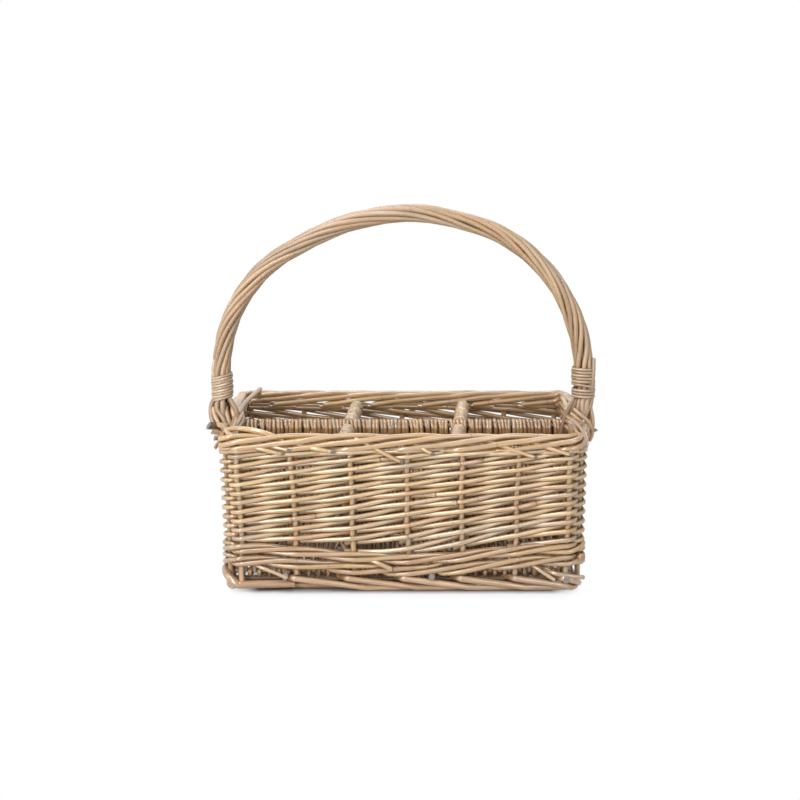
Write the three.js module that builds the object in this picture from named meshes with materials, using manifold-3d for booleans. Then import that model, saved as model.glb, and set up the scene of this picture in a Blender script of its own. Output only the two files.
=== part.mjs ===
// A cutlery basket woven in willow, with six compartments and a fixed, roped hoop handle.
// Millimetres, +Z up. The origin is on the surface it stands on, under its middle.
// +X runs along the long side, and -Y is the front.
import * as THREE from "three";
import { mergeVertices } from "three/addons/utils/BufferGeometryUtils.js";
import Module from "manifold-3d";

const wasm = await Module();
wasm.setup();

// Plan of the wall, measured on the axes of the stakes
const stakeLineLength = 290;
const stakeLineDepth = 190;
const cornerRadius = 10;
const longSideStakes = 7;
const shortSideStakes = 4;

// Rods of the wall
const stakeDiameter = 4.8;
const weaverDiameter = 3.8;
const weaverCount = 8;
const sidingHeight = 73;
const waleDiameter = 4.2;
const waleRodCount = 2;
const waleRows = 3;
const borderDepth = 3;
const borderSpread = 4;
// Shares of the gap between stakes: where a stake has turned over, and where its tip stops short
const bendShare = 0.08;
const tipShare = 0.1;

// Foot border, a rope of three thick rods that is cut flat where it stands
const footRodDiameter = 6;
const footRodCount = 3;
const footTurns = 5;
const footInset = 2;
const footFlat = 0.9;

// Base
const baseStickDiameter = 5;
const baseStickCount = 4;
const baseWeaverDiameter = 2.6;
const baseWeaverPitch = 8;

// Dividers
const railDiameter = 4.5;
const dividerWeaverDiameter = 2.8;
const dividerWeaverPitch = 6.5;
const crossDividerPlace = 48;
const dividerDrop = 4;

// Handle
const bowDiameter = 7;
const handleLegOut = 12;
const archRise = 135.5;
const ropeRodDiameter = 4.2;
const ropeRodCount = 8;
const ropeTurns = 2;
const ropeTuck = 8;
const skeinDiameter = 2.2;
const bindingTurns = 9;
const bindingRise = 7;

// Clearances: between a rod and what it bends round, between rows, between turns, and at a seat
const weaveClearance = 0.5;
const rowClearance = 0.6;
const borderClearance = 0.6;
const turnClearance = 0.5;
const seatClearance = 0.3;

// How finely rods are faceted
const weaverSides = 4;
const rodSides = 5;
const barSides = 6;
const footStepsLong = 15;
const footStepsShort = 9;
const footStepsCorner = 2;
const archSteps = 24;
const turnSteps = 12;

const quarterTurn = Math.PI / 2;
const fullTurn = 2 * Math.PI;

// Heights, stacked from the ground up
const footRopeRadius = (footRodDiameter + weaveClearance) / Math.sqrt(3);
const footCentre = footRopeRadius + footRodDiameter / 2 - footFlat;
const footTop = footCentre + footRopeRadius + footRodDiameter / 2;
const stakeBottom = footTop + seatClearance;
const baseTurnRadius = (baseStickDiameter + baseWeaverDiameter) / 2 + seatClearance;
const baseReach = octagonRadius(baseTurnRadius) + baseWeaverDiameter / 2;
const baseCentre = footTop + seatClearance + baseTurnRadius + baseWeaverDiameter / 2;
const baseTop = baseCentre + baseTurnRadius + baseWeaverDiameter / 2;
const waleRow = waleDiameter + rowClearance;
const waleStart = baseTop + seatClearance + waleDiameter / 2;
const waleTop = waleStart + waleRows * waleRow + waleDiameter / 2;
const weaverRow = weaverDiameter + rowClearance;
const sidingStart = waleTop + seatClearance + weaverDiameter / 2;
const borderBottom = waleTop + sidingHeight;
const sidingEnd = borderBottom - seatClearance - weaverDiameter / 2;
const borderRow = stakeDiameter + borderClearance;
const armSpan = borderDepth - tipShare;
const rimTop = borderBottom + stakeDiameter + borderRow * armSpan;
const bindingBottom = rimTop + bindingRise;
const bindingPitch = skeinDiameter + turnClearance;
const bindingTop = bindingBottom + skeinDiameter + bindingTurns * bindingPitch;
const archSpring = bindingTop + skeinDiameter;

// Where the handle's legs lean out through the border, from the wall to the bindings
const leanBottom = borderBottom - stakeDiameter;
const leanSlope = handleLegOut / (bindingBottom - leanBottom);
const bowHalfWidth = (bowDiameter / 2) * Math.hypot(1, leanSlope);
const legX = stakeLineLength / 2 + handleLegOut;

// Rail heights: the cross dividers lie on the long one
const dividerTurnRadius = (railDiameter + dividerWeaverDiameter) / 2 + seatClearance;
const dividerReach = octagonRadius(dividerTurnRadius) + dividerWeaverDiameter / 2;
const dividerHalfThickness = dividerTurnRadius + dividerWeaverDiameter / 2;
const railStep = railDiameter + seatClearance;
const longRailLow = baseTop + seatClearance + dividerReach;
const crossRailLow = longRailLow + railStep;
const crossRailHigh = rimTop - dividerDrop - dividerReach;
const longRailHigh = crossRailHigh - railStep;

const honey = willow(0xc8a06a, 0.5);
const cream = willow(0xdcc091, 0.5);
const brown = willow(0x9a6f42, 0.55);
const greyBrown = willow(0x8d7a60, 0.6);

const basket = new THREE.Group();
const stakeLine = makeStakeLine();
const uprights = placeUprights();
const stakes = uprights.filter((upright) => upright.name);
const legs = uprights.filter((upright) => !upright.name);

addFoot();
addBase();
addStakes();
addWale();
addSiding();
addHandle();
addDividers();

export default basket;

function willow(color, roughness) {
  return new THREE.MeshStandardMaterial({ color, roughness, metalness: 0 });
}

function addPart(name, geometry, material) {
  const mesh = new THREE.Mesh(geometry, material);
  mesh.name = name;
  basket.add(mesh);
}

// The radius at which the corners of an octagon keep its sides the given distance from the middle
function octagonRadius(sideDistance) {
  return sideDistance / Math.cos(Math.PI / 8);
}

function smoothStep(value) {
  return THREE.MathUtils.smoothstep(value, 0, 1);
}

// A rod runs straight from station to station, with a mitred section at each
function rod(stations, diameter, sides) {
  const section = new THREE.Shape();
  for (let side = 0; side < sides; side += 1) {
    const angle = (side * fullTurn) / sides;
    const x = (Math.cos(angle) * diameter) / 2;
    const y = (Math.sin(angle) * diameter) / 2;
    if (side === 0) section.moveTo(x, y);
    else section.lineTo(x, y);
  }
  section.closePath();
  return new THREE.ExtrudeGeometry(section, {
    steps: stations.length - 1,
    extrudePath: makeRoute(stations),
  });
}

function makeRoute(stations) {
  const route = new THREE.Curve();
  const last = stations.length - 1;
  route.getPointAt = (share) => stations[Math.round(share * last)].clone();
  route.getSpacedPoints = () => stations;
  route.getTangentAt = (share, target = new THREE.Vector3()) => {
    const index = Math.round(share * last);
    const before = stations[Math.max(index - 1, 0)];
    const here = stations[index];
    const after = stations[Math.min(index + 1, last)];
    const arriving = new THREE.Vector3().subVectors(here, before).normalize();
    const leaving = new THREE.Vector3().subVectors(after, here).normalize();
    return target.addVectors(arriving, leaving).normalize();
  };
  return route;
}

function toSolid(geometry) {
  const bare = geometry.clone();
  bare.deleteAttribute("normal");
  bare.deleteAttribute("uv");
  const merged = mergeVertices(bare);
  return new wasm.Manifold(new wasm.Mesh({
    numProp: 3,
    vertProperties: merged.attributes.position.array,
    triVerts: new Uint32Array(merged.index.array),
  }));
}

function toGeometry(solid) {
  const mesh = solid.getMesh();
  const geometry = new THREE.BufferGeometry();
  geometry.setAttribute("position", new THREE.BufferAttribute(mesh.vertProperties, mesh.numProp));
  geometry.setIndex(new THREE.BufferAttribute(mesh.triVerts, 1));
  return geometry;
}

// The line of the stakes: a rectangle with round corners, walked to the right as seen from outside
function makeStakeLine() {
  const corner = quarterTurn * cornerRadius;
  const names = ["front", "right", "back", "left"];
  let start = 0;
  const sides = names.map((name, index) => {
    const isLong = index % 2 === 0;
    const span = isLong ? stakeLineLength : stakeLineDepth;
    const distance = (isLong ? stakeLineDepth : stakeLineLength) / 2;
    const straight = span - 2 * cornerRadius;
    const side = { name, isLong, start, straight, distance, heading: index * quarterTurn };
    start += straight + corner;
    return side;
  });
  return { sides, corner, length: start };
}

// A point at a place along the stake line, an offset outwards from it, and a height
function onWall(place, offset, height) {
  const wrapped = THREE.MathUtils.euclideanModulo(place, stakeLine.length);
  const side = stakeLine.sides.findLast((candidate) => candidate.start <= wrapped);
  const along = wrapped - side.start;
  const past = Math.max(along - side.straight, 0);
  const heading = side.heading + past / cornerRadius;
  const run = Math.min(along, side.straight) - side.straight / 2;
  const inset = side.distance - cornerRadius;
  const reach = cornerRadius + offset;
  return new THREE.Vector3(
    run * Math.cos(side.heading) + inset * Math.sin(side.heading) + reach * Math.sin(heading),
    run * Math.sin(side.heading) - inset * Math.cos(side.heading) - reach * Math.cos(heading),
    height,
  );
}

// The stakes of each side, and the handle's two legs between the middle stakes of the short sides
function placeUprights() {
  const list = [];
  for (const side of stakeLine.sides) {
    const count = side.isLong ? longSideStakes : shortSideStakes;
    for (let index = 0; index < count; index += 1) {
      const isEnd = index === 0 || index === count - 1;
      list.push({
        name: `stake_${side.name}_${index + 1}`,
        place: side.start + (side.straight * index) / (count - 1),
        radius: stakeDiameter / 2,
        needsFlat: isEnd,
        beforeCorner: index === count - 1,
      });
    }
    if (!side.isLong) {
      list.push({ place: side.start + side.straight / 2, radius: bowDiameter / 2, needsFlat: true });
    }
  }
  return list.sort((first, second) => first.place - second.place);
}

// A rod woven among the uprights: sideOf says whether it passes outside (1) or inside (-1)
function weavingRod({ first, steps, sideOf, startHeight, climb, diameter, sides }) {
  const stations = [];
  const tail = diameter + weaveClearance;
  const add = (place, offset, height) => stations.push(onWall(place, offset, height));
  for (let step = 0; step <= steps; step += 1) {
    const number = first + step;
    const upright = uprights[number % uprights.length];
    const place = upright.place + Math.floor(number / uprights.length) * stakeLine.length;
    const offset = sideOf(step) * (upright.radius + diameter / 2 + weaveClearance);
    const height = startHeight + step * climb;
    const flat = upright.radius + weaveClearance;
    if (step === 0) add(place - flat - tail, offset, height);
    if (upright.needsFlat) add(place - flat, offset, height);
    if (upright.needsFlat) add(place + flat, offset, height);
    if (!upright.needsFlat) add(place, offset, height);
    if (step === steps) add(place + flat + tail, offset, height);
    else if (upright.beforeCorner) {
      const isTurning = sideOf(step + 1) !== sideOf(step);
      add(place + stakeLine.corner / 2, isTurning ? 0 : offset, height + climb / 2);
    }
  }
  return rod(stations, diameter, sides);
}

// Three rods laid up as a rope, each meeting its own end, and cut flat at the ground
function addFoot() {
  const ground = toSolid(new THREE.BoxGeometry(
    2 * stakeLineLength, 2 * stakeLineDepth, 2 * footCentre,
  ).translate(0, 0, -footCentre));
  const places = [];
  for (const side of stakeLine.sides) {
    const steps = side.isLong ? footStepsLong : footStepsShort;
    for (let step = 0; step < steps; step += 1) {
      places.push(side.start + (side.straight * step) / steps);
    }
    for (let step = 0; step < footStepsCorner; step += 1) {
      places.push(side.start + side.straight + (stakeLine.corner * step) / footStepsCorner);
    }
  }
  places[0] += seatClearance;
  places.push(stakeLine.length - seatClearance);
  for (let index = 0; index < footRodCount; index += 1) {
    const stations = places.map((place) => {
      const share = index / footRodCount - (footTurns * place) / stakeLine.length;
      const angle = share * fullTurn;
      const offset = footRopeRadius * Math.cos(angle) - footInset;
      return onWall(place, offset, footCentre + footRopeRadius * Math.sin(angle));
    });
    const solid = toSolid(rod(stations, footRodDiameter, rodSides)).subtract(ground);
    addPart(`foot_rod_${index + 1}`, toGeometry(solid), brown);
  }
}

// The path of one rod woven to and fro across parallel sticks, turning round the outer ones.
// Each point has a place along the sticks, one across them, and a rise out of their plane.
function panelPath(sticks, passes, turnRadius) {
  const points = [];
  const lastStick = sticks.length - 1;
  const corner = octagonRadius(turnRadius);
  const turnAngles = [3, 1, -1, -3].map((eighths) => (eighths * Math.PI) / 8);
  passes.forEach((along, pass) => {
    const isForward = pass % 2 === 0;
    for (let count = 1; count < lastStick; count += 1) {
      const stick = isForward ? count : lastStick - count;
      const side = (stick + pass) % 2 === 0 ? 1 : -1;
      points.push({ along, across: sticks[stick], rise: side * turnRadius });
    }
    if (pass === passes.length - 1) return;
    const stick = isForward ? lastStick : 0;
    const outward = isForward ? 1 : -1;
    const side = (stick + pass) % 2 === 0 ? 1 : -1;
    turnAngles.forEach((angle, index) => {
      points.push({
        along: along + ((passes[pass + 1] - along) * index) / (turnAngles.length - 1),
        across: sticks[stick] + outward * corner * Math.cos(angle),
        rise: side * corner * Math.sin(angle),
      });
    });
  });
  const closing = passes.length - 1;
  const end = closing % 2 === 0 ? lastStick : 0;
  const endSide = (end + closing) % 2 === 0 ? 1 : -1;
  points.unshift({ along: passes[0], across: sticks[0], rise: turnRadius });
  points.push({ along: passes[closing], across: sticks[end], rise: endSide * turnRadius });
  return points;
}

// Passes spread evenly between two places, with a count of the parity asked for (0 even, 1 odd)
function spreadPasses(from, to, pitch, parity) {
  const intervals = Math.floor((to - from) / pitch);
  const count = intervals % 2 === parity ? intervals : intervals + 1;
  return Array.from({ length: count }, (_, index) => from + ((to - from) * index) / (count - 1));
}

function straightBar(from, to, diameter) {
  return rod([from, to], diameter, barSides);
}

function addBase() {
  const stickEnd = stakeLineLength / 2 - bowDiameter / 2 - weaveClearance;
  const outerStick = stakeLineDepth / 2 - stakeDiameter / 2 - weaveClearance - baseReach;
  const sticks = [];
  for (let index = 0; index < baseStickCount; index += 1) {
    const y = outerStick * ((2 * index) / (baseStickCount - 1) - 1);
    sticks.push(y);
    const from = new THREE.Vector3(-stickEnd, y, baseCentre);
    const to = new THREE.Vector3(stickEnd, y, baseCentre);
    addPart(`base_stick_${index + 1}`, straightBar(from, to, baseStickDiameter), greyBrown);
  }
  const edge = stickEnd - baseWeaverDiameter / 2;
  const passes = spreadPasses(-edge, edge, baseWeaverPitch, 0);
  const stations = panelPath(sticks, passes, baseTurnRadius).map(
    ({ along, across, rise }) => new THREE.Vector3(along, across, baseCentre + rise),
  );
  addPart("base_weave", rod(stations, baseWeaverDiameter, weaverSides), honey);
}

// The place along the wall after passing so many stakes, counted from a given stake
function placeAfter(index, passed) {
  const whole = Math.floor(passed);
  const placeOf = (number) => {
    const rounds = Math.floor(number / stakes.length);
    return stakes[number % stakes.length].place + rounds * stakeLine.length;
  };
  const here = placeOf(index + whole);
  return here + (placeOf(index + whole + 1) - here) * (passed - whole);
}

function armHeight(passed) {
  return borderBottom + stakeDiameter / 2 + borderRow * passed;
}

// A turned-over stake leans out of the wall, then crosses the top of the border to the inside
function armOffset(passed) {
  const outBy = 0.5;
  const overFrom = 1.5;
  if (passed < overFrom) return borderSpread * smoothStep(passed / outBy);
  const crossing = smoothStep((passed - overFrom) / (armSpan - overFrom));
  return borderSpread * (1 - 2 * crossing);
}

function legLean(height) {
  return THREE.MathUtils.clamp((height - leanBottom) * leanSlope, 0, handleLegOut);
}

// How far out the border has to lie to pass outside the handle's leg
function offsetRoundLeg(passed) {
  return legLean(armHeight(passed)) + bowHalfWidth + stakeDiameter / 2 + weaveClearance;
}

// Each stake stands in the wall, turns to the right at the top and becomes a rod of the border,
// which bulges out where it passes the handle's leg
function addStakes() {
  const bulge = 4 * bowDiameter;
  const armPlaces = [0.25, 0.5, 1, 1.5, 2, 2.5, armSpan];
  stakes.forEach((stake, index) => {
    const stations = [
      onWall(stake.place, 0, stakeBottom),
      onWall(stake.place, 0, borderBottom - stakeDiameter / 4),
      onWall(placeAfter(index, bendShare), armOffset(bendShare), armHeight(0) - stakeDiameter / 8),
    ];
    const leg = legs.find((candidate) => {
      const ahead = THREE.MathUtils.euclideanModulo(candidate.place - stake.place, stakeLine.length);
      return ahead < placeAfter(index, armSpan) - stake.place;
    });
    const passes = leg ? armPlacesRoundLeg(index, leg, bulge, armPlaces) : armPlaces;
    for (const passed of passes) {
      const place = placeAfter(index, passed);
      const offset = armOffset(passed) + (leg ? bulgeRoundLeg(index, leg, bulge, place) : 0);
      stations.push(onWall(place, offset, armHeight(passed)));
    }
    addPart(stake.name, rod(stations, stakeDiameter, rodSides), index % 3 === 1 ? brown : honey);
  });
}

// How many stakes a turned-over stake has passed where it meets the leg
function passedAtLeg(index, leg) {
  const legIndex = stakes.findIndex((stake) => stake.place > leg.place) - 0.5;
  return THREE.MathUtils.euclideanModulo(legIndex - index, stakes.length);
}

function distanceToLeg(leg, place) {
  const half = stakeLine.length / 2;
  return THREE.MathUtils.euclideanModulo(place - leg.place + half, stakeLine.length) - half;
}

function bulgeRoundLeg(index, leg, bulge, place) {
  const passed = passedAtLeg(index, leg);
  const isOutside = passed < borderDepth - 1;
  const distance = Math.abs(distanceToLeg(leg, place));
  if (!isOutside || distance > bulge) return 0;
  const share = Math.cos((quarterTurn * distance) / bulge) ** 2;
  return share * (offsetRoundLeg(passed) - armOffset(passed));
}

function armPlacesRoundLeg(index, leg, bulge, armPlaces) {
  const passed = passedAtLeg(index, leg);
  const spacing = stakeLine.sides[1].straight / (shortSideStakes - 1);
  const bulgeShares = [-0.6, -0.3, 0, 0.3, 0.6];
  const near = bulgeShares.map((share) => passed + (share * bulge) / spacing);
  const lowest = near[0] - bendShare;
  const highest = near[near.length - 1] + bendShare;
  const rest = armPlaces.filter((place) => place < lowest || place > highest);
  return [...rest, ...near.filter((place) => place > bendShare && place < armSpan)]
    .sort((first, second) => first - second);
}

// The wale: rods that run in front of two uprights and behind one
function addWale() {
  const stepsApart = uprights.length / waleRodCount;
  for (let index = 0; index < waleRodCount; index += 1) {
    const geometry = weavingRod({
      first: index * stepsApart,
      steps: waleRows * stepsApart,
      sideOf: (step) => ((step + index) % 3 === 0 ? -1 : 1),
      startHeight: waleStart,
      climb: waleRow / stepsApart,
      diameter: waleDiameter,
      sides: rodSides,
    });
    addPart(`wale_rod_${index + 1}`, geometry, cream);
  }
}

// French rand: a rod starts at every third upright and climbs to the right, in front of one
// upright and behind the next, so that neighbouring rods alternate
function addSiding() {
  const stepsApart = uprights.length / weaverCount;
  const climb = weaverRow / stepsApart;
  const steps = 2 * Math.floor((sidingEnd - sidingStart) / climb / 2);
  for (let index = 0; index < weaverCount; index += 1) {
    const geometry = weavingRod({
      first: index * stepsApart,
      steps,
      sideOf: (step) => (step % 2 === 0 ? -1 : 1),
      startHeight: sidingStart,
      climb,
      diameter: weaverDiameter,
      sides: weaverSides,
    });
    addPart(`weaver_${index + 1}`, geometry, index % 2 === 0 ? honey : cream);
  }
}

// A point on the arch at a share of its sweep, an offset away from its axis, and a turn round it
function onArch(share, offset, angle) {
  const sweep = share * Math.PI;
  const out = new THREE.Vector3(-Math.cos(sweep) / legX, 0, Math.sin(sweep) / archRise).normalize();
  const point = new THREE.Vector3(
    -legX * Math.cos(sweep), 0, archSpring + archRise * Math.sin(sweep),
  );
  point.addScaledVector(out, offset * Math.cos(angle));
  point.y += offset * Math.sin(angle);
  return point;
}

// A point at a leg: side is -1 on the left and 1 on the right
function atLeg(side, outFromStakes, y, height) {
  return new THREE.Vector3(side * (stakeLineLength / 2 + outFromStakes), y, height);
}

function addHandle() {
  addBow();
  const ropeRadius = (bowDiameter + ropeRodDiameter) / 2 + seatClearance;
  for (let index = 0; index < ropeRodCount; index += 1) {
    const angle = ((index + 0.5) * fullTurn) / ropeRodCount;
    const left = ropeFoot(-1, angle, ropeRadius);
    const right = ropeFoot(1, angle, ropeRadius).reverse();
    const arch = [];
    for (let step = 0; step <= archSteps; step += 1) {
      const share = step / archSteps;
      arch.push(onArch(share, ropeRadius, angle + share * ropeTurns * fullTurn));
    }
    const stations = [...left, ...arch, ...right];
    const colour = index % 2 === 0 ? honey : greyBrown;
    addPart(`handle_rope_${index + 1}`, rod(stations, ropeRodDiameter, weaverSides), colour);
  }
  addBinding("binding_left", -1, ropeRadius);
  addBinding("binding_right", 1, ropeRadius);
}

// One thick rod: down in the wall, out through the border, and over in an arch
function addBow() {
  const leg = (side) => [
    atLeg(side, 0, 0, stakeBottom),
    atLeg(side, 0, 0, leanBottom),
    atLeg(side, handleLegOut, 0, bindingBottom),
  ];
  const arch = [];
  for (let step = 0; step <= archSteps; step += 1) {
    arch.push(onArch(step / archSteps, 0, 0));
  }
  const stations = [...leg(-1), ...arch, ...leg(1).reverse()];
  addPart("handle_bow", rod(stations, bowDiameter, barSides), brown);
}

// The foot of a roping rod, from its tip up to the binding: half of them pass down outside the
// border, and half inside it, on either side of the long divider
function ropeFoot(side, angle, ropeRadius) {
  const rodRadius = ropeRodDiameter / 2;
  const wallReach = bowDiameter / 2 + weaverDiameter + 2 * weaveClearance + rodRadius;
  const across = Math.sin(angle);
  const rank = Math.abs(across) > Math.SQRT1_2 ? 1 : 0;
  const spacing = ropeRodDiameter + borderClearance;
  const top = atLeg(
    side, handleLegOut + ropeRadius * Math.cos(angle), ropeRadius * across, bindingBottom,
  );
  if (Math.cos(angle) > 0) {
    const y = Math.sign(across) * (rank + 0.5) * spacing;
    const beside = (passed) => offsetRoundLeg(passed) + stakeDiameter / 2 + rodRadius + weaveClearance;
    return [
      atLeg(side, wallReach, y, borderBottom - ropeTuck),
      atLeg(side, beside(0.5), y, armHeight(0)),
      atLeg(side, beside(1.5), y, armHeight(1)),
      atLeg(side, beside(1.5), y, armHeight(2)),
      top,
    ];
  }
  const y = Math.sign(across) * (dividerHalfThickness + weaveClearance + rodRadius + rank * spacing);
  return [
    atLeg(side, -wallReach, y, borderBottom - ropeTuck),
    atLeg(side, -wallReach, y, rimTop + rodRadius),
    top,
  ];
}

// Split willow wound round the foot of the roping, with a short straight tail at each end
function addBinding(name, side, ropeRadius) {
  const radius = ropeRadius + (ropeRodDiameter + skeinDiameter) / 2 + seatClearance;
  const steps = bindingTurns * turnSteps;
  const stations = [];
  for (let step = 0; step <= steps; step += 1) {
    const angle = (step * fullTurn) / turnSteps;
    const height = bindingBottom + skeinDiameter + (step * bindingPitch) / turnSteps;
    const out = handleLegOut + radius * Math.cos(angle);
    stations.push(atLeg(side, out, radius * Math.sin(angle), height));
  }
  const gap = leastGap(stations, turnSteps / 2) - skeinDiameter;
  console.log(`${name}: least gap between turns ${gap.toFixed(2)} mm`);
  const tail = (from, to) => to.clone().sub(from).setLength(skeinDiameter).add(to);
  stations.unshift(tail(stations[1], stations[0]));
  stations.push(tail(stations[steps], stations[steps + 1]));
  addPart(name, rod(stations, skeinDiameter, rodSides), cream);
}

// The least distance between points of a winding that lie at least so many steps apart
function leastGap(points, stepsApart) {
  let least = Infinity;
  points.forEach((point, index) => {
    for (let other = index + stepsApart; other < points.length; other += 1) {
      least = Math.min(least, point.distanceTo(points[other]));
    }
  });
  return least;
}

function addDividers() {
  const beside = dividerHalfThickness + seatClearance + dividerWeaverDiameter / 2;
  const wallInside = stakeDiameter / 2 + weaverDiameter + weaveClearance + seatClearance;
  const legInside = bowDiameter / 2 + weaverDiameter + weaveClearance + seatClearance;
  const longEnd = stakeLineLength / 2 - legInside;
  const crossEnd = stakeLineDepth / 2 - wallInside;
  const half = dividerWeaverDiameter / 2;

  const along = (x, height) => new THREE.Vector3(x, 0, height);
  const longLow = straightBar(along(-longEnd, longRailLow), along(longEnd, longRailLow), railDiameter);
  const longHigh = straightBar(along(-longEnd, longRailHigh), along(longEnd, longRailHigh), railDiameter);
  addPart("long_divider_lower_rail", longLow, greyBrown);
  addPart("long_divider_upper_rail", longHigh, greyBrown);
  const near = crossDividerPlace - beside;
  const far = crossDividerPlace + beside;
  const longPasses = [
    ...spreadPasses(half - longEnd, -far, dividerWeaverPitch, 0),
    ...spreadPasses(-near, near, dividerWeaverPitch, 0),
    ...spreadPasses(far, longEnd - half, dividerWeaverPitch, 0),
  ];
  const longStations = panelPath([longRailLow, longRailHigh], longPasses, dividerTurnRadius).map(
    (point) => new THREE.Vector3(point.along, point.rise, point.across),
  );
  const longWeave = rod(longStations, dividerWeaverDiameter, weaverSides);
  addPart("long_divider_weave", longWeave, honey);

  const crossPasses = [
    ...spreadPasses(half - crossEnd, -beside, dividerWeaverPitch, 1),
    ...spreadPasses(beside, crossEnd - half, dividerWeaverPitch, 1),
  ];
  const crossPath = panelPath([crossRailLow, crossRailHigh], crossPasses, dividerTurnRadius);
  for (const [name, x] of [["left", -crossDividerPlace], ["right", crossDividerPlace]]) {
    const across = (y, height) => new THREE.Vector3(x, y, height);
    const low = straightBar(across(-crossEnd, crossRailLow), across(crossEnd, crossRailLow), railDiameter);
    const high = straightBar(
      across(-crossEnd, crossRailHigh), across(crossEnd, crossRailHigh), railDiameter,
    );
    const stations = crossPath.map(
      (point) => new THREE.Vector3(x + point.rise, point.along, point.across),
    );
    addPart(`${name}_divider_lower_rail`, low, greyBrown);
    addPart(`${name}_divider_upper_rail`, high, greyBrown);
    addPart(`${name}_divider_weave`, rod(stations, dividerWeaverDiameter, weaverSides), honey);
  }
}
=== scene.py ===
"""The looks of a willow cutlery basket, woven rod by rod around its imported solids.

Lengths here are millimetres, +X along the long side and -Y to the front; meshes are made in metres.
"""
import math

import bpy
import numpy as np
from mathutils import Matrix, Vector


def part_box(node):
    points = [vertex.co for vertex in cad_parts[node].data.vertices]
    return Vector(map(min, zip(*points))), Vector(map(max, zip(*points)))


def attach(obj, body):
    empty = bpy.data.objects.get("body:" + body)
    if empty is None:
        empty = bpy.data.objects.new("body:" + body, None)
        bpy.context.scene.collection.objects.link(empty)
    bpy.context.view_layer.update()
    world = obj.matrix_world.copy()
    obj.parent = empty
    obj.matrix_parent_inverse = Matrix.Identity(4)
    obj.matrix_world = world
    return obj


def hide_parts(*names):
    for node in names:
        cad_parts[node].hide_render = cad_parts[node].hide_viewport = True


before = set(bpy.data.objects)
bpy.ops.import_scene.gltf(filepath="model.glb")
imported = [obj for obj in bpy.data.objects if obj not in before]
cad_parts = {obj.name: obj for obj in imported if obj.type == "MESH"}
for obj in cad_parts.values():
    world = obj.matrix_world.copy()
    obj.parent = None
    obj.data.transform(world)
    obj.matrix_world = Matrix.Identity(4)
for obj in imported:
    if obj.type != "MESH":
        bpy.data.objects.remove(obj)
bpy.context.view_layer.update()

MM = 0.001
FULL_TURN = 2 * math.pi
QUARTER_TURN = math.pi / 2

# Plan of the wall, on the axes of its stakes
WALL_LENGTH = 290.0
WALL_DEPTH = 190.0
CORNER_RADIUS = 10.0
LONG_SIDE_STAKES = 7
SHORT_SIDE_STAKES = 4

# Rods, as radii
STAKE_RADIUS = 2.45
ARM_RADIUS = 2.3
TIP_RADIUS = 2.25
SIDING_BUTT = 2.15
SIDING_TIP = 1.75
BACK_ROD_RADIUS = 2.05
WALE_RADIUS = 2.2
FOOT_RADIUS = 2.65
CORNER_FOOT_RADIUS = 3.7
BASE_STICK_RADIUS = 1.9
BASE_STRAND_RADIUS = 1.85
BASE_END_RADIUS = 2.0
UNDER_ROD_RADIUS = 2.6
BOW_RADIUS = 3.5
ROPE_RADIUS = 2.1
SKEIN_RADIUS = 1.35

# Counts and pitches
SIDING_ROWS = 20
SIDING_RODS = 34
WEAVERS = 8
WALE_RODS = 3
WALE_ROUNDS = 2
ROPE_STRANDS = 9
ROPE_NODES = 8
ROPE_TURNS = 2.0
BINDING_TURNS = 9
BASE_STICKS = 4
BASE_PITCH = 4.1

# How the weave has settled
FRONT_SAG = 9.0
BACK_SAG = 5.0
SHORT_SAG = 3.0
RIM_TILT = 2.4
BACK_RISE = 1.8
FLARE_LEFT = 3.3
FLARE_RIGHT = 1.9
FLARE_RUN = 40.0
KINK_ROUNDNESS = 0.2


def node_box(name):
    """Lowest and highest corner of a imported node, in millimetres."""
    low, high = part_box(name)
    return np.array(low) / MM, np.array(high) / MM


FOOT_TOP = node_box("foot_rod_1")[1][2]
BASE_BOTTOM = node_box("base_weave")[0][2]
BASE_TOP = node_box("base_weave")[1][2]
WALE_TOP = node_box("wale_rod_1")[1][2]
BORDER_BOTTOM = node_box("weaver_1")[1][2] + 5.0
RIM_TOP = node_box("stake_front_4")[1][2] - 0.8
BINDING_BOTTOM = node_box("binding_left")[0][2]
BINDING_TOP = node_box("binding_left")[1][2]
LEG_X = -np.mean([corner[0] for corner in node_box("binding_left")])
LEG_OUT = LEG_X - WALL_LENGTH / 2
ARCH_SPRING = BINDING_TOP + 2.2
ARCH_RISE = node_box("handle_bow")[1][2] - BOW_RADIUS - ARCH_SPRING


# Paths


def smooth_step(value):
    """0 up to 0 and 1 from 1 on, with a smooth rise between."""
    value = np.clip(value, 0.0, 1.0)
    return value * value * (3 - 2 * value)


def unit(vectors):
    return vectors / np.maximum(np.linalg.norm(vectors, axis=-1), 1e-6)[..., None]


def lengths_along(path):
    """How far along a path each of its points lies."""
    return np.concatenate(([0.0], np.cumsum(np.linalg.norm(np.diff(path, axis=0), axis=1))))


def wander(places, seed, wavelength, amount):
    """Smooth, repeatable unevenness along a rod."""
    dice = np.random.default_rng(seed)
    total = 0.0
    for octave in (1.0, 2.3):
        phase = dice.uniform(0, FULL_TURN)
        total = total + np.sin(FULL_TURN * octave * places / wavelength + phase) / octave
    return amount * total / 1.4


def curve_through(points, step=2.5):
    """A smooth path through a few points, with stations about a step apart."""
    points = np.asarray(points, float)
    knots = lengths_along(points)
    slopes = np.gradient(points, knots, axis=0)
    places = np.linspace(0, knots[-1], max(3, round(knots[-1] / step) + 1))
    index = np.clip(np.searchsorted(knots, places, side="right") - 1, 0, len(knots) - 2)
    span = (knots[index + 1] - knots[index])[:, None]
    share = (places - knots[index])[:, None] / span
    rest = 1 - share
    return (
        points[index] * (1 + 2 * share) * rest**2
        + points[index + 1] * share**2 * (3 - 2 * share)
        + slopes[index] * span * share * rest**2
        - slopes[index + 1] * span * share**2 * rest
    )


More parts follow.
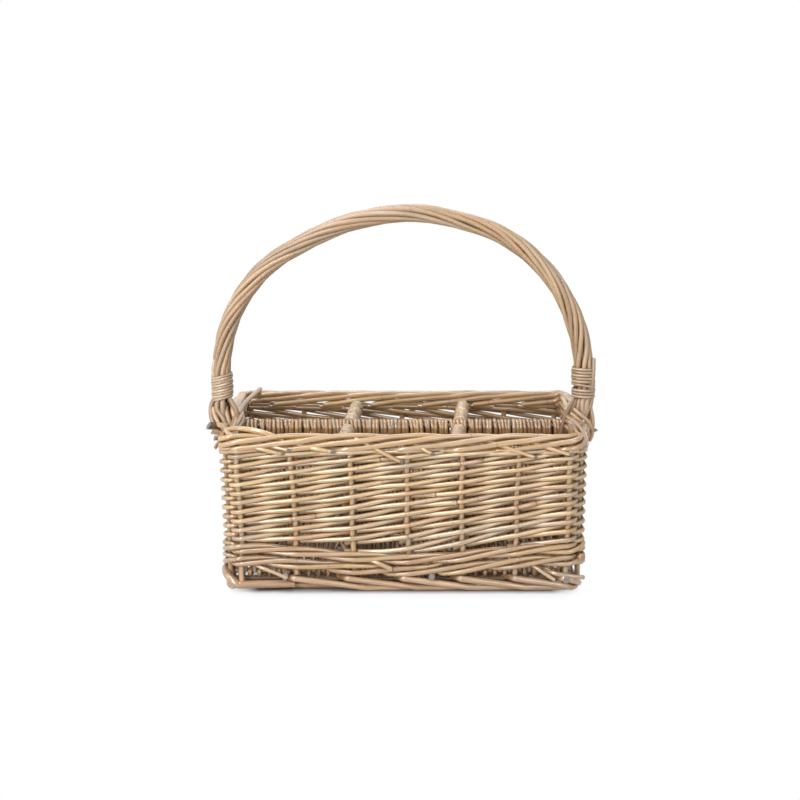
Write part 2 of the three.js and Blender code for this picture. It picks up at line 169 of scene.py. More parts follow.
SIDE_NAMES = ("front", "right", "back", "left")
SIDE_STRAIGHT = np.array([WALL_LENGTH, WALL_DEPTH] * 2) - 2 * CORNER_RADIUS
SIDE_INSET = np.array([WALL_DEPTH, WALL_LENGTH] * 2) / 2 - CORNER_RADIUS
SIDE_STAKES = (LONG_SIDE_STAKES, SHORT_SIDE_STAKES) * 2
SIDE_SAG = np.array([FRONT_SAG, SHORT_SAG, BACK_SAG, SHORT_SAG])
CORNER_RUN = QUARTER_TURN * CORNER_RADIUS
SIDE_START = np.concatenate(([0.0], np.cumsum(SIDE_STRAIGHT + CORNER_RUN)[:-1]))
WALL_ROUND = float(np.sum(SIDE_STRAIGHT + CORNER_RUN))


def side_of_place(places):
    """The side that each place is on, and how far along it."""
    wrapped = np.mod(np.asarray(places, float), WALL_ROUND)
    index = np.searchsorted(SIDE_START, wrapped, side="right") - 1
    return index, wrapped - SIDE_START[index]


def siding_share(heights):
    """How far up the siding heights are, from 0 to 1."""
    return np.clip((np.asarray(heights, float) - WALE_TOP) / (BORDER_BOTTOM - WALE_TOP), 0, 1)


def on_wall(places, offsets, heights):
    """Points at places along the stake line, walked to the right as seen from outside. The wall flares
    a little to its corners."""
    index, along = side_of_place(places)
    straight = SIDE_STRAIGHT[index]
    turned = index * QUARTER_TURN
    heading = turned + np.maximum(along - straight, 0) / CORNER_RADIUS
    run = np.minimum(along, straight) - straight / 2
    reach = CORNER_RADIUS + np.asarray(offsets, float)
    x = run * np.cos(turned) + SIDE_INSET[index] * np.sin(turned) + reach * np.sin(heading)
    y = run * np.sin(turned) - SIDE_INSET[index] * np.cos(turned) - reach * np.cos(heading)
    flare = np.where(x < 0, FLARE_LEFT, FLARE_RIGHT) * siding_share(heights)
    x = x * (1 + flare * smooth_step(np.abs(y) / FLARE_RUN) / (WALL_LENGTH / 2))
    return np.stack(np.broadcast_arrays(x, y, np.asarray(heights, float)), axis=-1)


def rim_lift(places):
    """The rim stands a little higher at the back than at the front."""
    back = 2 * on_wall(places, 0.0, 0.0)[..., 1] / WALL_DEPTH
    return RIM_TILT * back + BACK_RISE * np.maximum(back, 0)


def settle(places, heights):
    """How far the weave has sunk: most low down in the middle of each side, and unevenly all round."""
    index, along = side_of_place(places)
    share = np.clip(along / SIDE_STRAIGHT[index], 0, 1)
    rise = siding_share(heights)
    sunk = SIDE_SAG[index] * np.sin(math.pi * share) ** 2 * (1 - rise) ** 3
    uneven = wander(places, 5, WALL_ROUND / 4, 0.7) + wander(places + 3 * heights, 6, WALL_ROUND / 7, 0.4)
    return uneven * np.sin(math.pi * np.clip(rise, 0.05, 0.95)) - sunk + rise * rim_lift(places)


# How far each stake stands to the right of an even spacing, and how far its foot leans further
STAKE_DRIFT = {"front": (0.0, -0.4, 2.4, 3.0, 3.0, 3.2, 0.6), "right": (0.0, 1.4, -1.0, 0.0),
               "back": (0.0, 1.8, -1.4, 2.2, 0.8, -1.8, 0.0), "left": (0.0, -1.2, 1.5, 0.0)}
STAKE_LEAN = (0.3, 1.2, 1.5, 1.2, 0.9, -1.0, -0.4)


def find_uprights():
    """Place, radius and name of each stake and of the handle's two legs, in order round the wall."""
    found = []
    for name, start, straight, count in zip(SIDE_NAMES, SIDE_START, SIDE_STRAIGHT, SIDE_STAKES):
        for number, drift in enumerate(STAKE_DRIFT[name]):
            place = start + straight * number / (count - 1) + drift
            found.append((place, STAKE_RADIUS, f"stake_{name}_{number + 1}"))
        if count == SHORT_SIDE_STAKES:
            found.append((start + straight / 2, BOW_RADIUS, None))
    return sorted(found, key=lambda upright: upright[0])


UPRIGHTS = find_uprights()
STAKES = [upright for upright in UPRIGHTS if upright[2]]
LEGS = [upright[0] for upright in UPRIGHTS if not upright[2]]


def place_of(row, number):
    """The place of a numbered upright or stake, counted on past a whole round."""
    return row[number % len(row)][0] + (number // len(row)) * WALL_ROUND


def place_after(index, passed):
    """The place after passing so many stakes, counted from a given stake."""
    numbers = range(index - 1, index + len(STAKES))
    return np.interp(index + passed, numbers, [place_of(STAKES, number) for number in numbers])


WEAVE_SHARES = np.array([0.0, 0.05, 0.11, 0.2, 0.35, 0.5, 0.65, 0.8, 0.89, 0.95])
WEAVE_TAIL = 7.0


def woven_path(first, steps, every, height_at, radius):
    """A rod among the uprights, inside the first and then one in every so many, and outside the others.
    height_at(step, place, offset) is its height. Between uprights it runs nearly straight."""
    passed = range(steps + 1)
    stands = [place_of(UPRIGHTS, first + step) for step in passed]
    reaches = [(1 if step % every else -1) * (UPRIGHTS[(first + step) % len(UPRIGHTS)][1] + radius)
               for step in passed]
    steps_at = np.append(np.add.outer(np.arange(steps), WEAVE_SHARES), steps)
    whole = np.floor(steps_at)
    share = steps_at - whole
    swing = (1 - KINK_ROUNDNESS) * share + KINK_ROUNDNESS * smooth_step(share)
    places = np.interp(steps_at, passed, stands)
    offsets = np.interp(whole + swing, passed, reaches)
    steps_at, places, offsets = (np.pad(part, 1, mode="edge") for part in (steps_at, places, offsets))
    places[0] -= WEAVE_TAIL
    places[-1] += WEAVE_TAIL
    return on_wall(places, offsets, height_at(steps_at, places, offsets))


# Rods into meshes


def carried_frames(path):
    """A tangent and a normal at each station, carried along without twist."""
    tangents = np.gradient(path, axis=0)
    tangents /= np.linalg.norm(tangents, axis=1)[:, None]
    helper = np.array([0.0, 0.0, 1.0]) if abs(tangents[0][2]) < 0.9 else np.array([1.0, 0.0, 0.0])
    normal = np.cross(tangents[0], helper)
    normals = np.empty_like(path)
    for index, tangent in enumerate(tangents):
        normal = unit(normal - tangent * np.dot(normal, tangent))
        normals[index] = normal
    return tangents, normals


def wall_outward(path):
    """Directions straight out of the wall at the points of a path."""
    core = np.array([WALL_LENGTH, WALL_DEPTH]) / 2 - CORNER_RADIUS
    out = np.zeros_like(path)
    out[:, :2] = np.sign(path[:, :2]) * np.maximum(np.abs(path[:, :2]) - core, 0)
    return unit(out)


def across_wall(path):
    """Directions straight across a rod, out of the wall."""
    tangents = carried_frames(path)[0]
    out = wall_outward(path)
    return unit(out - tangents * np.sum(out * tangents, axis=1)[:, None])


UNEVENNESS = 0.03


def tapered(path, butt, tip, seed, unevenness=UNEVENNESS):
    """Radii from butt to tip, a little uneven."""
    share = np.linspace(0, 1, len(path))
    return (butt + (tip - butt) * share) * (1 + wander(lengths_along(path), seed, 38.0, unevenness))


# How darkly a rod's flanks, where it lies against others, and its back, facing into the weave, are
# darkened: partly stain of the wash, partly painted shade
CREVICE_STAIN_AND_SHADE = 0.6
INNER_STAIN_AND_SHADE = 0.4
# A blunt end: how far on its last rings lie, and their shares of the radius
BLUNT_AHEAD = np.array([0.25, 0.42, 0.52])
BLUNT_SHARE = np.array([0.92, 0.7, 0.3])


class Bundle:
    """Rods gathered into one mesh, with the attributes that the willow materials read."""

    def __init__(self, seed):
        self.dice = np.random.default_rng(seed)
        # stains keeps each point's darkening by stain and painted shade
        self.points, self.grains, self.tones, self.stains = [], [], [], []
        self.quads, self.caps = [], []
        self.count = 0

    def tone(self, around):
        """A rod's own shade, warmth and weathering, scattered round those of its kind, with no staining and
        no painted shade.
        """
        *middle, spread = around
        scatter = self.dice.uniform(-spread, spread, 3)
        return np.append(np.clip(np.array(middle) + scatter, 0, 1), 0.0)

    def pieced_tones(self, stations, pieces, around):
        """Tones of a rod that is pieced from several lengths of willow."""
        cuts = np.sort(self.dice.integers(0, stations, pieces - 1))
        tones = np.empty((stations, 4))
        for start, end in zip(np.append(0, cuts), np.append(cuts, stations)):
            tones[start:end] = self.tone(around)
        return tones

    def add(self, path, radius, tone, sides=8, slant=(0.0, 0.0), bevel=0.0, normals=None, flatness=1.0,
            blunt=False, outward=None, washed=1.0):
        """One rod. Slant tilts its two cut ends up or down, bevel turns the last one outwards, flatness
        thins the rod along its first normal, and a blunt rod is rounded at its last end. Where
        outward(path) says which way it lies open, its flanks and its back are darkened by staining and by
        painted shade, by a given share, or by one for each of its points."""
        path = np.asarray(path, float)
        radii = np.broadcast_to(np.asarray(radius, float), len(path))
        if blunt:
            ahead = unit(path[-1] - path[-2]) * radii[-1]
            path = np.concatenate((path, path[-1] + np.outer(BLUNT_AHEAD, ahead)))
            radii = np.concatenate((radii, radii[-1] * BLUNT_SHARE))
        tangents, carried = carried_frames(path)
        first = carried if normals is None else normals
        second = np.cross(tangents, first)
        tones = np.broadcast_to(np.asarray(tone, float), (len(path), 4))
        angles = np.arange(sides) * FULL_TURN / sides
        across = radii[:, None] * np.cos(angles) * flatness
        aside = radii[:, None] * np.sin(angles)
        spokes = across[..., None] * first[:, None] + aside[..., None] * second[:, None]
        stain_and_shade = np.broadcast_to(tones[:, 3:], across.shape)
        if outward is not None:
            # Painted shade, with the wash's stain, darkens the flanks and the back where the rod lies
            # against others
            facing = np.sum(unit(spokes) * outward(path)[:, None], axis=-1)
            flank = smooth_step((0.8 - np.abs(facing)) / 0.5)
            back = smooth_step(-facing / 0.8)
            crevice_stain_and_shade = np.reshape(washed, (-1, 1)) * np.maximum(CREVICE_STAIN_AND_SHADE * flank, INNER_STAIN_AND_SHADE * back)
            stain_and_shade = np.maximum(stain_and_shade, crevice_stain_and_shade)
        rings = path[:, None] + spokes
        for end, tilt in zip((0, -1), slant):
            rings[end] += np.outer(aside[end] * tilt, tangents[end])
        rings[-1] -= np.outer(across[-1] * bevel, tangents[-1])
        along = lengths_along(path)[:, None] + self.dice.uniform(0, 5000)
        grain = np.stack((across, aside, np.broadcast_to(along, across.shape)), axis=-1)
        self._tube(rings, grain, tones, stain_and_shade)
        self._cap(rings[0][::-1], grain[0], tones[0])
        self._cap(rings[-1], grain[-1], tones[-1])

    def add_tapered(self, path, butt, tip, seed, tone, unevenness=UNEVENNESS, **shape):
        """One rod with radii from butt to tip, a little uneven."""
        self.add(path, tapered(path, butt, tip, seed, unevenness), tone, **shape)

    def _tube(self, rings, grain, tones, stain_and_shade):
        stations, sides = rings.shape[:2]
        index = self.count + np.arange(stations * sides).reshape(stations, sides)
        beside = np.roll(index, -1, axis=1)
        quads = np.stack((index[:-1], beside[:-1], beside[1:], index[1:]), axis=-1)
        self.quads.append(quads.reshape(-1, 4))
        tone = np.concatenate((tones[:, :3], np.zeros((stations, 1))), axis=1)
        self._keep(rings.reshape(-1, 3), grain.reshape(-1, 3), np.repeat(tone, sides, axis=0),
                   stain_and_shade.ravel())

    def _cap(self, ring, grain, tone):
        sides = len(ring)
        index = self.count + np.arange(sides)
        middle = np.full(sides, self.count + sides)
        self.caps.append(np.stack((index, np.roll(index, -1), middle), axis=-1))
        tones = np.tile(np.append(tone[:3], 1.0), (sides + 1, 1))
        self._keep(np.concatenate((ring, [ring.mean(axis=0)])),
                   np.concatenate((grain, [grain.mean(axis=0)])), tones, np.zeros(sides + 1))

    def _keep(self, points, grain, tones, stain_and_shade):
        self.points.append(points)
        self.grains.append(grain)
        self.tones.append(tones)
        self.stains.append(stain_and_shade)
        self.count += len(points)

    def build(self, name, slot, *nodes, look=None):
        """Makes the piece, which stands for the named nodes. It has its slot's willow or another look."""
        quads = np.concatenate(self.quads).tolist()
        caps = np.concatenate(self.caps).tolist()
        mesh = bpy.data.meshes.new(name)
        mesh.from_pydata(np.concatenate(self.points) * MM, [], quads + caps)
        mesh.polygons.foreach_set("use_smooth", [True] * len(quads) + [False] * len(caps))
        for label, kind, field, values in (("grain", "FLOAT_VECTOR", "vector", self.grains),
                                           ("tone", "FLOAT_COLOR", "color", self.tones),
                                           ("stain_and_shade", "FLOAT", "value", self.stains)):
            attribute = mesh.attributes.new(label, kind, "POINT")
            attribute.data.foreach_set(field, np.concatenate(values).astype(np.float32).ravel())
        mesh.materials.append(WILLOWS[look or slot])
        piece = bpy.data.objects.new(name, mesh)
        bpy.context.scene.collection.objects.link(piece)
        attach(piece, "root")
        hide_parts(*nodes)


# Materials


class Tree:
    """An emptied node tree, and short ways to fill it. Inputs are sockets, which it links, or values."""

    def __init__(self, owner):
        owner.use_nodes = True
        self.tree = owner.node_tree
        self.tree.nodes.clear()

    def add(self, kind, inputs=None, **settings):
        """Adds a node and gives its outputs."""
        node = self.tree.nodes.new(f"ShaderNode{kind}")
        for key, value in settings.items():
            setattr(node, key, value)
        for key, value in (inputs or {}).items():
            if isinstance(value, bpy.types.NodeSocket):
                self.tree.links.new(value, node.inputs[key])
            else:
                node.inputs[key].default_value = value
        return node.outputs

    def calculate(self, operation, *values):
        return self.add("Math", dict(enumerate(values)), operation=operation)[0]

    def spread(self, value, low, high, to_low=0.0, to_high=1.0):
        """A value taken from one range to another, and held inside it."""
        inputs = {"Value": value, "From Min": low, "From Max": high, "To Min": to_low, "To Max": to_high}
        return self.add("MapRange", inputs, clamp=True)["Result"]

    def mix(self, factor, first, second, blend="MIX"):
        inputs = {0: factor, 6: first, 7: second}
        return self.add("Mix", inputs, data_type="RGBA", blend_type=blend)[2]

    def mix_shaders(self, factor, first, second):
        return self.add("MixShader", {0: factor, 1: first, 2: second})[0]

    def grain_noise(self, grain, scale, detail):
        """Noise in a rod's own space: two directions across it and one along it."""
        place = self.add("Mapping", {"Vector": grain, "Scale": scale})["Vector"]
        inputs = {"Vector": place, "Scale": 1.0, "Detail": detail, "Roughness": 0.6}
        return self.add("TexNoise", inputs)["Fac"]

    def seen_directly(self):
        """1 for rays from the camera, mirrors and glass, which see the white backdrop."""
        rays = self.add("LightPath")
        seen = self.calculate("MAXIMUM", rays["Is Camera Ray"], rays["Is Glossy Ray"])
        return self.calculate("MAXIMUM", seen, rays["Is Transmission Ray"])


# Dark colour of stains, and of the painted shade in crevices and on backs
STAIN_AND_SHADE_COLOUR = (0.1, 0.06, 0.034, 1)
BUD_RING = (0.13, 0.075, 0.04, 1)
CUT_DARK = (0.175, 0.18, 0.185, 1)
CUT_PALE = (0.31, 0.295, 0.27, 1)


def willow(name, pale, deep, warm, grey, gloss=2.04, haze=0.17):
    """Peeled willow under a wash: streaks along the rod, stains, grey patches, bud rings, crevices and
    backs darkened by staining and painted shade, and cut ends. Gloss and haze are the refraction and the
    roughness of its coat."""
    material = bpy.data.materials.new(name)
    tree = Tree(material)
    grain = tree.add("Attribute", attribute_name="grain")["Vector"]
    stain_and_shade = tree.add("Attribute", attribute_name="stain_and_shade")["Fac"]
    tone = tree.add("Attribute", attribute_name="tone")
    at_cut = tone["Alpha"]
    shade, warmth, weather = tree.add("SeparateColor", {"Color": tone["Color"]})
    streaks = tree.grain_noise(grain, (1.2, 1.2, 0.045), 1.5)
    fibres = tree.grain_noise(grain, (2.4, 2.4, 0.1), 1.0)
    stains = tree.grain_noise(grain, (0.12, 0.12, 0.03), 3.0)
    patches = tree.grain_noise(grain, (0.3, 0.3, 0.018), 2.0)

    colour = tree.mix(shade, pale, deep)
    warmed = tree.calculate("MULTIPLY", warmth, tree.spread(stains, 0.35, 0.7, 0.25, 1.0))
    colour = tree.mix(warmed, colour, warm)
    greyed = tree.calculate("MULTIPLY", weather, tree.spread(patches, 0.42, 0.66))
    colour = tree.mix(greyed, colour, grey)
    colour = tree.mix(1.0, colour, tree.spread(streaks, 0.3, 0.7, 0.72, 1.12), "MULTIPLY")
    along = tree.add("SeparateXYZ", {"Vector": grain})["Z"]
    buds = tree.add("TexVoronoi", {"W": along, "Scale": 0.006, "Randomness": 1.0},
                    voronoi_dimensions="1D", feature="DISTANCE_TO_EDGE")
    colour = tree.mix(tree.spread(buds["Distance"], 0.002, 0.008, 0.3, 0.0), colour, BUD_RING)
    # Stain and painted shade, made patchy, darken the colour here and dull the coat below
    stained_and_shaded = tree.calculate("MULTIPLY", stain_and_shade, tree.spread(stains, 0.35, 0.65, 0.6, 1.0))
    colour = tree.mix(stained_and_shaded, colour, STAIN_AND_SHADE_COLOUR)
    cut_end = tree.mix(tree.spread(fibres, 0.35, 0.65), CUT_DARK, CUT_PALE)
    colour = tree.mix(at_cut, colour, cut_end)

    ridges = tree.calculate("MULTIPLY_ADD", fibres, 0.5, streaks)
    bump = tree.add("Bump", {"Height": ridges, "Strength": 0.35, "Distance": 0.25 * MM})["Normal"]
    dulled = tree.calculate("MAXIMUM", stained_and_shaded, at_cut)
    shader = tree.add("BsdfPrincipled", {
        "Base Color": colour, "Roughness": tree.spread(stains, 0.3, 0.7, 0.39, 0.59), "Normal": bump,
        "IOR": 1.46, "Specular IOR Level": 0.15, "Coat Weight": tree.spread(dulled, 0.0, 0.8, 1.0, 0.1),
        "Coat Roughness": haze, "Coat IOR": gloss, "Coat Normal": bump,
    })
    tree.add("OutputMaterial", {"Surface": shader["BSDF"]})
    return material


ROSE = (0.55, 0.30, 0.17, 1)
RUST = (0.45, 0.22, 0.10, 1)
TAWNY = (0.5, 0.26, 0.1, 1)
GREY = (0.44, 0.37, 0.28, 1)
ASH = (0.36, 0.30, 0.22, 1)
UMBER = (0.26, 0.16, 0.085, 1)
# Pale and deep colour, warm stain and weathered grey of each willow, and its own gloss and haze
LOOKS = {
    "siding_willow": ((0.79, 0.55, 0.275, 1), (0.585, 0.315, 0.09, 1), ROSE, GREY),
    "stake_willow": ((0.775, 0.528, 0.248, 1), (0.577, 0.335, 0.123, 1), ROSE, GREY),
    "wale_willow": ((0.645, 0.408, 0.174, 1), (0.423, 0.226, 0.077, 1), ROSE, GREY),
    "foot_willow": ((0.755, 0.505, 0.29, 1), (0.505, 0.296, 0.138, 1), RUST, ASH),
    "stick_willow": (GREY, UMBER, RUST, ASH),
    "fine_willow": ((0.605, 0.367, 0.15, 1), (0.305, 0.14, 0.042, 1), TAWNY, ASH, 1.92),
    "cross_willow": ((0.9, 0.67, 0.42, 1), (0.58, 0.36, 0.19, 1), TAWNY, GREY, 1.92),
    "rope_willow": ((0.668, 0.437, 0.229, 1), (0.338, 0.19, 0.086, 1), ROSE, GREY, 1.95, 0.45),
    "skein_willow": ((0.8, 0.585, 0.375, 1), (0.43, 0.26, 0.138, 1), ROSE, GREY, 2.04, 0.35),
}
WILLOWS = {name: willow(name, *look) for name, look in LOOKS.items()}

# Tones of single rods: shade, warmth, weathering, and stain, which under the base is painted shade
BEIGE = (0.25, 0.15, 0.8, 0.0)
CREAM = (0.0, 0.1, 0.3, 0.0)
BLEACHED = (0.0, 0.0, 1.0, 0.0)
DRAB = (0.6, 0.2, 0.6, 0.0)
DINGY = (0.7, 0.2, 0.6, 0.3)
BROWN = (0.9, 0.5, 0.2, 0.55)
RUDDY = (0.8, 0.7, 0.0, 0.25)
DARK_END = (1.0, 0.2, 1.0, 0.9)
UNDER_BASE_SHADE = (1.0, 0.2, 0.0, 0.4)
ROSY = (0.35, 1.0, 0.1, 0.0)
# Tones of kinds of rods: shade, warmth and weathering, and how far single rods are scattered round them
FOOT_TONE = (0.35, 0.35, 0.35, 0.35)
CORNER_FOOT_TONE = (0.85, 0.5, 0.2, 0.3)
LINING_TONE = (0.7, 0.4, 0.4, 0.3)
BASE_STICK_TONE = (0.5, 0.2, 0.6, 0.3)
BASE_STRAND_TONE = (0.5, 0.3, 0.4, 0.45)
BASE_END_TONE = (0.6, 0.3, 0.4, 0.3)
STAKE_TONE = (0.45, 0.3, 0.25, 0.3)
# Back stakes are darker, as painted shade for the inside of the back wall
BACK_STAKE_PAINTED_SHADE_TONE = (0.7, 0.3, 0.25, 0.3)
TIP_TONE = (0.3, 0.2, 0.2, 0.15)
CORNER_ROD_TONE = (0.4, 0.2, 0.2, 0.1)
WALE_TONE = (0.4, 0.25, 0.45, 0.45)
SIDING_TONE = (0.42, 0.3, 0.35, 0.4)
DIVIDER_STICK_TONE = (0.4, 0.2, 0.5, 0.3)
LONG_STRAND_TONE = (0.5, 0.4, 0.3, 0.5)
CROSS_STRAND_TONE = (0.35, 0.4, 0.3, 0.5)
# The bow's dark tone is partly its own colour and partly painted shade in the gaps between the roping's
# rods
BOW_TONE = (0.9, 0.4, 0.4, 0.3)
ROPE_TONE = (0.4, 0.15, 0.35, 0.38)
SKEIN_TONE = (0.35, 0.1, 0.3, 0.15)


# Foot border and base


# Ends that stick out above the foot: points, radius and tone
FOOT_ENDS = (
    (((-128, -93, 24), (-119.8, -98.5, 21), (-108, -101, 16.8), (-97.5, -102.5, 12.5)), 1.6, CREAM),
    (((103, -94, 24), (110.4, -98.5, 20), (117.5, -101, 15.4), (124.9, -102.5, 10.8)), 1.6, CREAM),
    (((118, -92, 17), (123.7, -97, 15.6), (137, -99, 13.5), (149.5, -97, 11.6)), 2.1, BEIGE),
    (((141, -78, 26), (145.5, -90, 28), (147.8, -99, 29.5)), 3.3, RUDDY),
)
# Cut ends that look out of the foot to the front, as x and z
FOOT_STUBS = ((-98.8, 13.6), (23.0, 13.4), (134.7, 10.6))
FOOT_OUT = 4.2
FOOT_IN = -9.0
FOOT_START = 11.4
FOOT_STEP_IN = 2.8
FOOT_STEP_DOWN = 6.8
# Where a rod of the foot begins and is out, in stakes passed, and how much lower it begins
ELBOW = (-0.13, 0.05)
ELBOW_DIP = 1.5
FOOT_PASSED = np.concatenate((np.linspace(ELBOW[0], 0.1, 16), np.linspace(0.15, 2.1, 40)))
# Offset and height of the rods behind the foot
FOOT_LINING = (-7.0, 3.2)
# How much higher the rod round a corner begins and ends, and how far the one before it rises at its end
CORNER_LIFT = 5.5
CORNER_RAISE = 1.6
TUCK = 3.5


def add_foot():
    """Short thick rods, one from each stake: each comes out under the wale with an elbow, runs along in
    front and goes down and in under the ones after it. The last of each side turns the corner."""
    bundle = Bundle(11)
    onward = np.maximum(FOOT_PASSED, 0)
    emerged = smooth_step((FOOT_PASSED - ELBOW[0]) / (ELBOW[1] - ELBOW[0]))
    offsets = FOOT_IN + (FOOT_OUT - FOOT_IN) * emerged - FOOT_STEP_IN * onward
    falling = FOOT_START - ELBOW_DIP * (1 - emerged) - FOOT_STEP_DOWN * onward
    for index, (_, _, name) in enumerate(STAKES):
        side, number = name.split("_")[1:]
        if number == "1":
            continue
        stakes_after = SIDE_STAKES[SIDE_NAMES.index(side)] - int(number)
        turns = stakes_after == 0 and side != "front"
        radius = CORNER_FOOT_RADIUS if turns else FOOT_RADIUS * bundle.dice.uniform(0.98, 1.12)
        drift = bundle.dice.uniform(-0.14, 0.02)
        heights = np.maximum(falling, radius)
        if turns:
            heights = np.maximum(falling + CORNER_LIFT * np.clip(1 - onward, 0, 1), radius + CORNER_RAISE)
        elif stakes_after == 1 and side != "front":
            heights = heights + TUCK * smooth_step((FOOT_PASSED - 1.4) / 0.5)
        path = on_wall(place_after(index, FOOT_PASSED + drift), offsets, heights)
        tone = bundle.tone(CORNER_FOOT_TONE if turns else FOOT_TONE)
        # Flanks and back are darkened lightly by stain and painted shade
        bundle.add_tapered(path, radius * 1.02, radius * 0.9, 300 + index, tone, 0.02, sides=12,
                           outward=wall_outward, washed=0.4)
    for start, straight in zip(SIDE_START, SIDE_STRAIGHT):
        places = start + np.linspace(-4.0, straight + 4.0, 40)
        offset, height = FOOT_LINING
        path = on_wall(places, offset + wander(places, 320, 90, 0.3), height + wander(places, 321, 70, 0.3))
        bundle.add(path, FOOT_RADIUS, bundle.tone(LINING_TONE), sides=10)
    for points, radius, tone in FOOT_ENDS:
        bundle.add_tapered(curve_through(points), radius, radius * 0.92, 330, tone, sides=10, blunt=True)
    for x, z in FOOT_STUBS:
        path = curve_through([(x + 3, -88, z + 3), (x + 0.8, -96, z + 1.2), (x, -103, z)])
        bundle.add(path, FOOT_RADIUS * 0.95, BEIGE, sides=10, slant=(0.0, 0.5))
    bundle.build("foot_border", "foot_willow", "foot_rod_1", "foot_rod_2", "foot_rod_3")


# How much lower the outer sticks lie, heights of the rods at both ends, and place of those under the
# base, which are dark as painted shade under it
BASE_EDGE_DROP = 2.5
BASE_END_LEVELS = (14.6, 18.6, 22.2)
UNDER_ROD_Y = 84.0
UNDER_ROD_Z = 8.0
BASE_LENGTH_END = WALL_LENGTH / 2 - BOW_RADIUS - 0.5
BASE_DEPTH_END = WALL_DEPTH / 2 - STAKE_RADIUS - 0.6 - 2 * BASE_STRAND_RADIUS - BASE_STICK_RADIUS


def add_base():
    """Sticks along the length, and thin rods woven across them and looped round the outer ones."""
    sticks = Bundle(21)
    end = BASE_LENGTH_END
    rows = np.linspace(-BASE_DEPTH_END, BASE_DEPTH_END, BASE_STICKS)
    levels = (BASE_BOTTOM + BASE_TOP) / 2 - BASE_EDGE_DROP * (np.abs(rows) == BASE_DEPTH_END)
    for number, (y, z) in enumerate(zip(rows, levels)):
        path = curve_through([(-end, y, z), (0, y + 0.8, z), (end, y, z)], 12)
        sticks.add_tapered(path, BASE_STICK_RADIUS, BASE_STICK_RADIUS * 0.9, 210 + number,
                           sticks.tone(BASE_STICK_TONE))
    # Dark rods under the base, as painted shade under it
    for y in (-UNDER_ROD_Y, UNDER_ROD_Y):
        path = curve_through([(-end, y, UNDER_ROD_Z), (0, y, UNDER_ROD_Z - 0.6), (end, y, UNDER_ROD_Z)], 12)
        sticks.add(path, UNDER_ROD_RADIUS, UNDER_BASE_SHADE)
    sticks.build("base_sticks", "stick_willow", *(f"base_stick_{n + 1}" for n in range(BASE_STICKS)))

    weave = Bundle(22)
    out = BASE_STICK_RADIUS + BASE_STRAND_RADIUS
    first = -end + BASE_STRAND_RADIUS
    faces = (-1) ** np.arange(BASE_STICKS)
    for number in range(round(-2 * first / BASE_PITCH)):
        x = first + BASE_PITCH * (number + 0.5)
        over = out if number % 2 else -out
        points = []
        for angle in np.radians((-150, -100, -50)):
            points.append((x, rows[0] + out * math.sin(angle), levels[0] - over * math.cos(angle)))
        points += [(x, y, z + over * face) for y, z, face in zip(rows, levels, faces)]
        for angle in np.radians((50, 100, 150)):
            points.append((x + BASE_PITCH * 0.3, rows[-1] + out * math.sin(angle),
                           levels[-1] + over * faces[-1] * math.cos(angle)))
        weave.add_tapered(curve_through(points, 4.5), BASE_STRAND_RADIUS, BASE_STRAND_RADIUS * 0.9,
                          220 + number, weave.tone(BASE_STRAND_TONE), 0.05, sides=7)
    for x in (first, -first):
        for z in BASE_END_LEVELS:
            path = curve_through([(x, rows[0], z), (x, 0, z - 0.5), (x, rows[-1], z)], 8)
            weave.add_tapered(path, BASE_END_RADIUS, BASE_END_RADIUS * 0.9, 290, weave.tone(BASE_END_TONE))
    weave.build("base_weave_strands", "fine_willow", "base_weave")


# Stakes and border


# In stakes passed: where a turned-over stake begins to climb, comes out, begins to cross the border, is at
# its top, is across it and ends
BORDER_CLIMBS = 0.5
BORDER_EMERGES = 0.8
BORDER_CROSSES = 2.1
BORDER_CLIMBED = 2.75
BORDER_CROSSED = 3.3
BORDER_ENDS = 5.6
# Its height at its end, how far out and in it runs, and how far behind the next upright
BORDER_INSIDE = 122.5
BORDER_SPREAD = 3.8
BORDER_BEHIND = 2.6
# How far from the handle's leg the border begins to make room for it
LEG_BULGE = 50.0


def border_height(passed):
    """A turned-over stake climbs to the top of the border outside, then goes down again inside."""
    low = BORDER_BOTTOM + 0.8 * ARM_RADIUS
    high = RIM_TOP - ARM_RADIUS
    climb = np.clip((passed - BORDER_CLIMBS) / (BORDER_CLIMBED - BORDER_CLIMBS), 0, 1)
    climb = 0.75 * climb + 0.25 * smooth_step(climb)
    dive = np.clip((passed - BORDER_CROSSED) / (BORDER_ENDS - BORDER_CROSSED), 0, 1)
    return low + (high - low) * climb - (high - BORDER_INSIDE) * dive ** 1.3


def leg_lean(height):
    """How far the handle's leg has leant out of the wall at a height."""
    bottom = BORDER_BOTTOM - 2 * STAKE_RADIUS
    return LEG_OUT * np.clip((height - bottom) / (BINDING_BOTTOM - bottom), 0, 1)


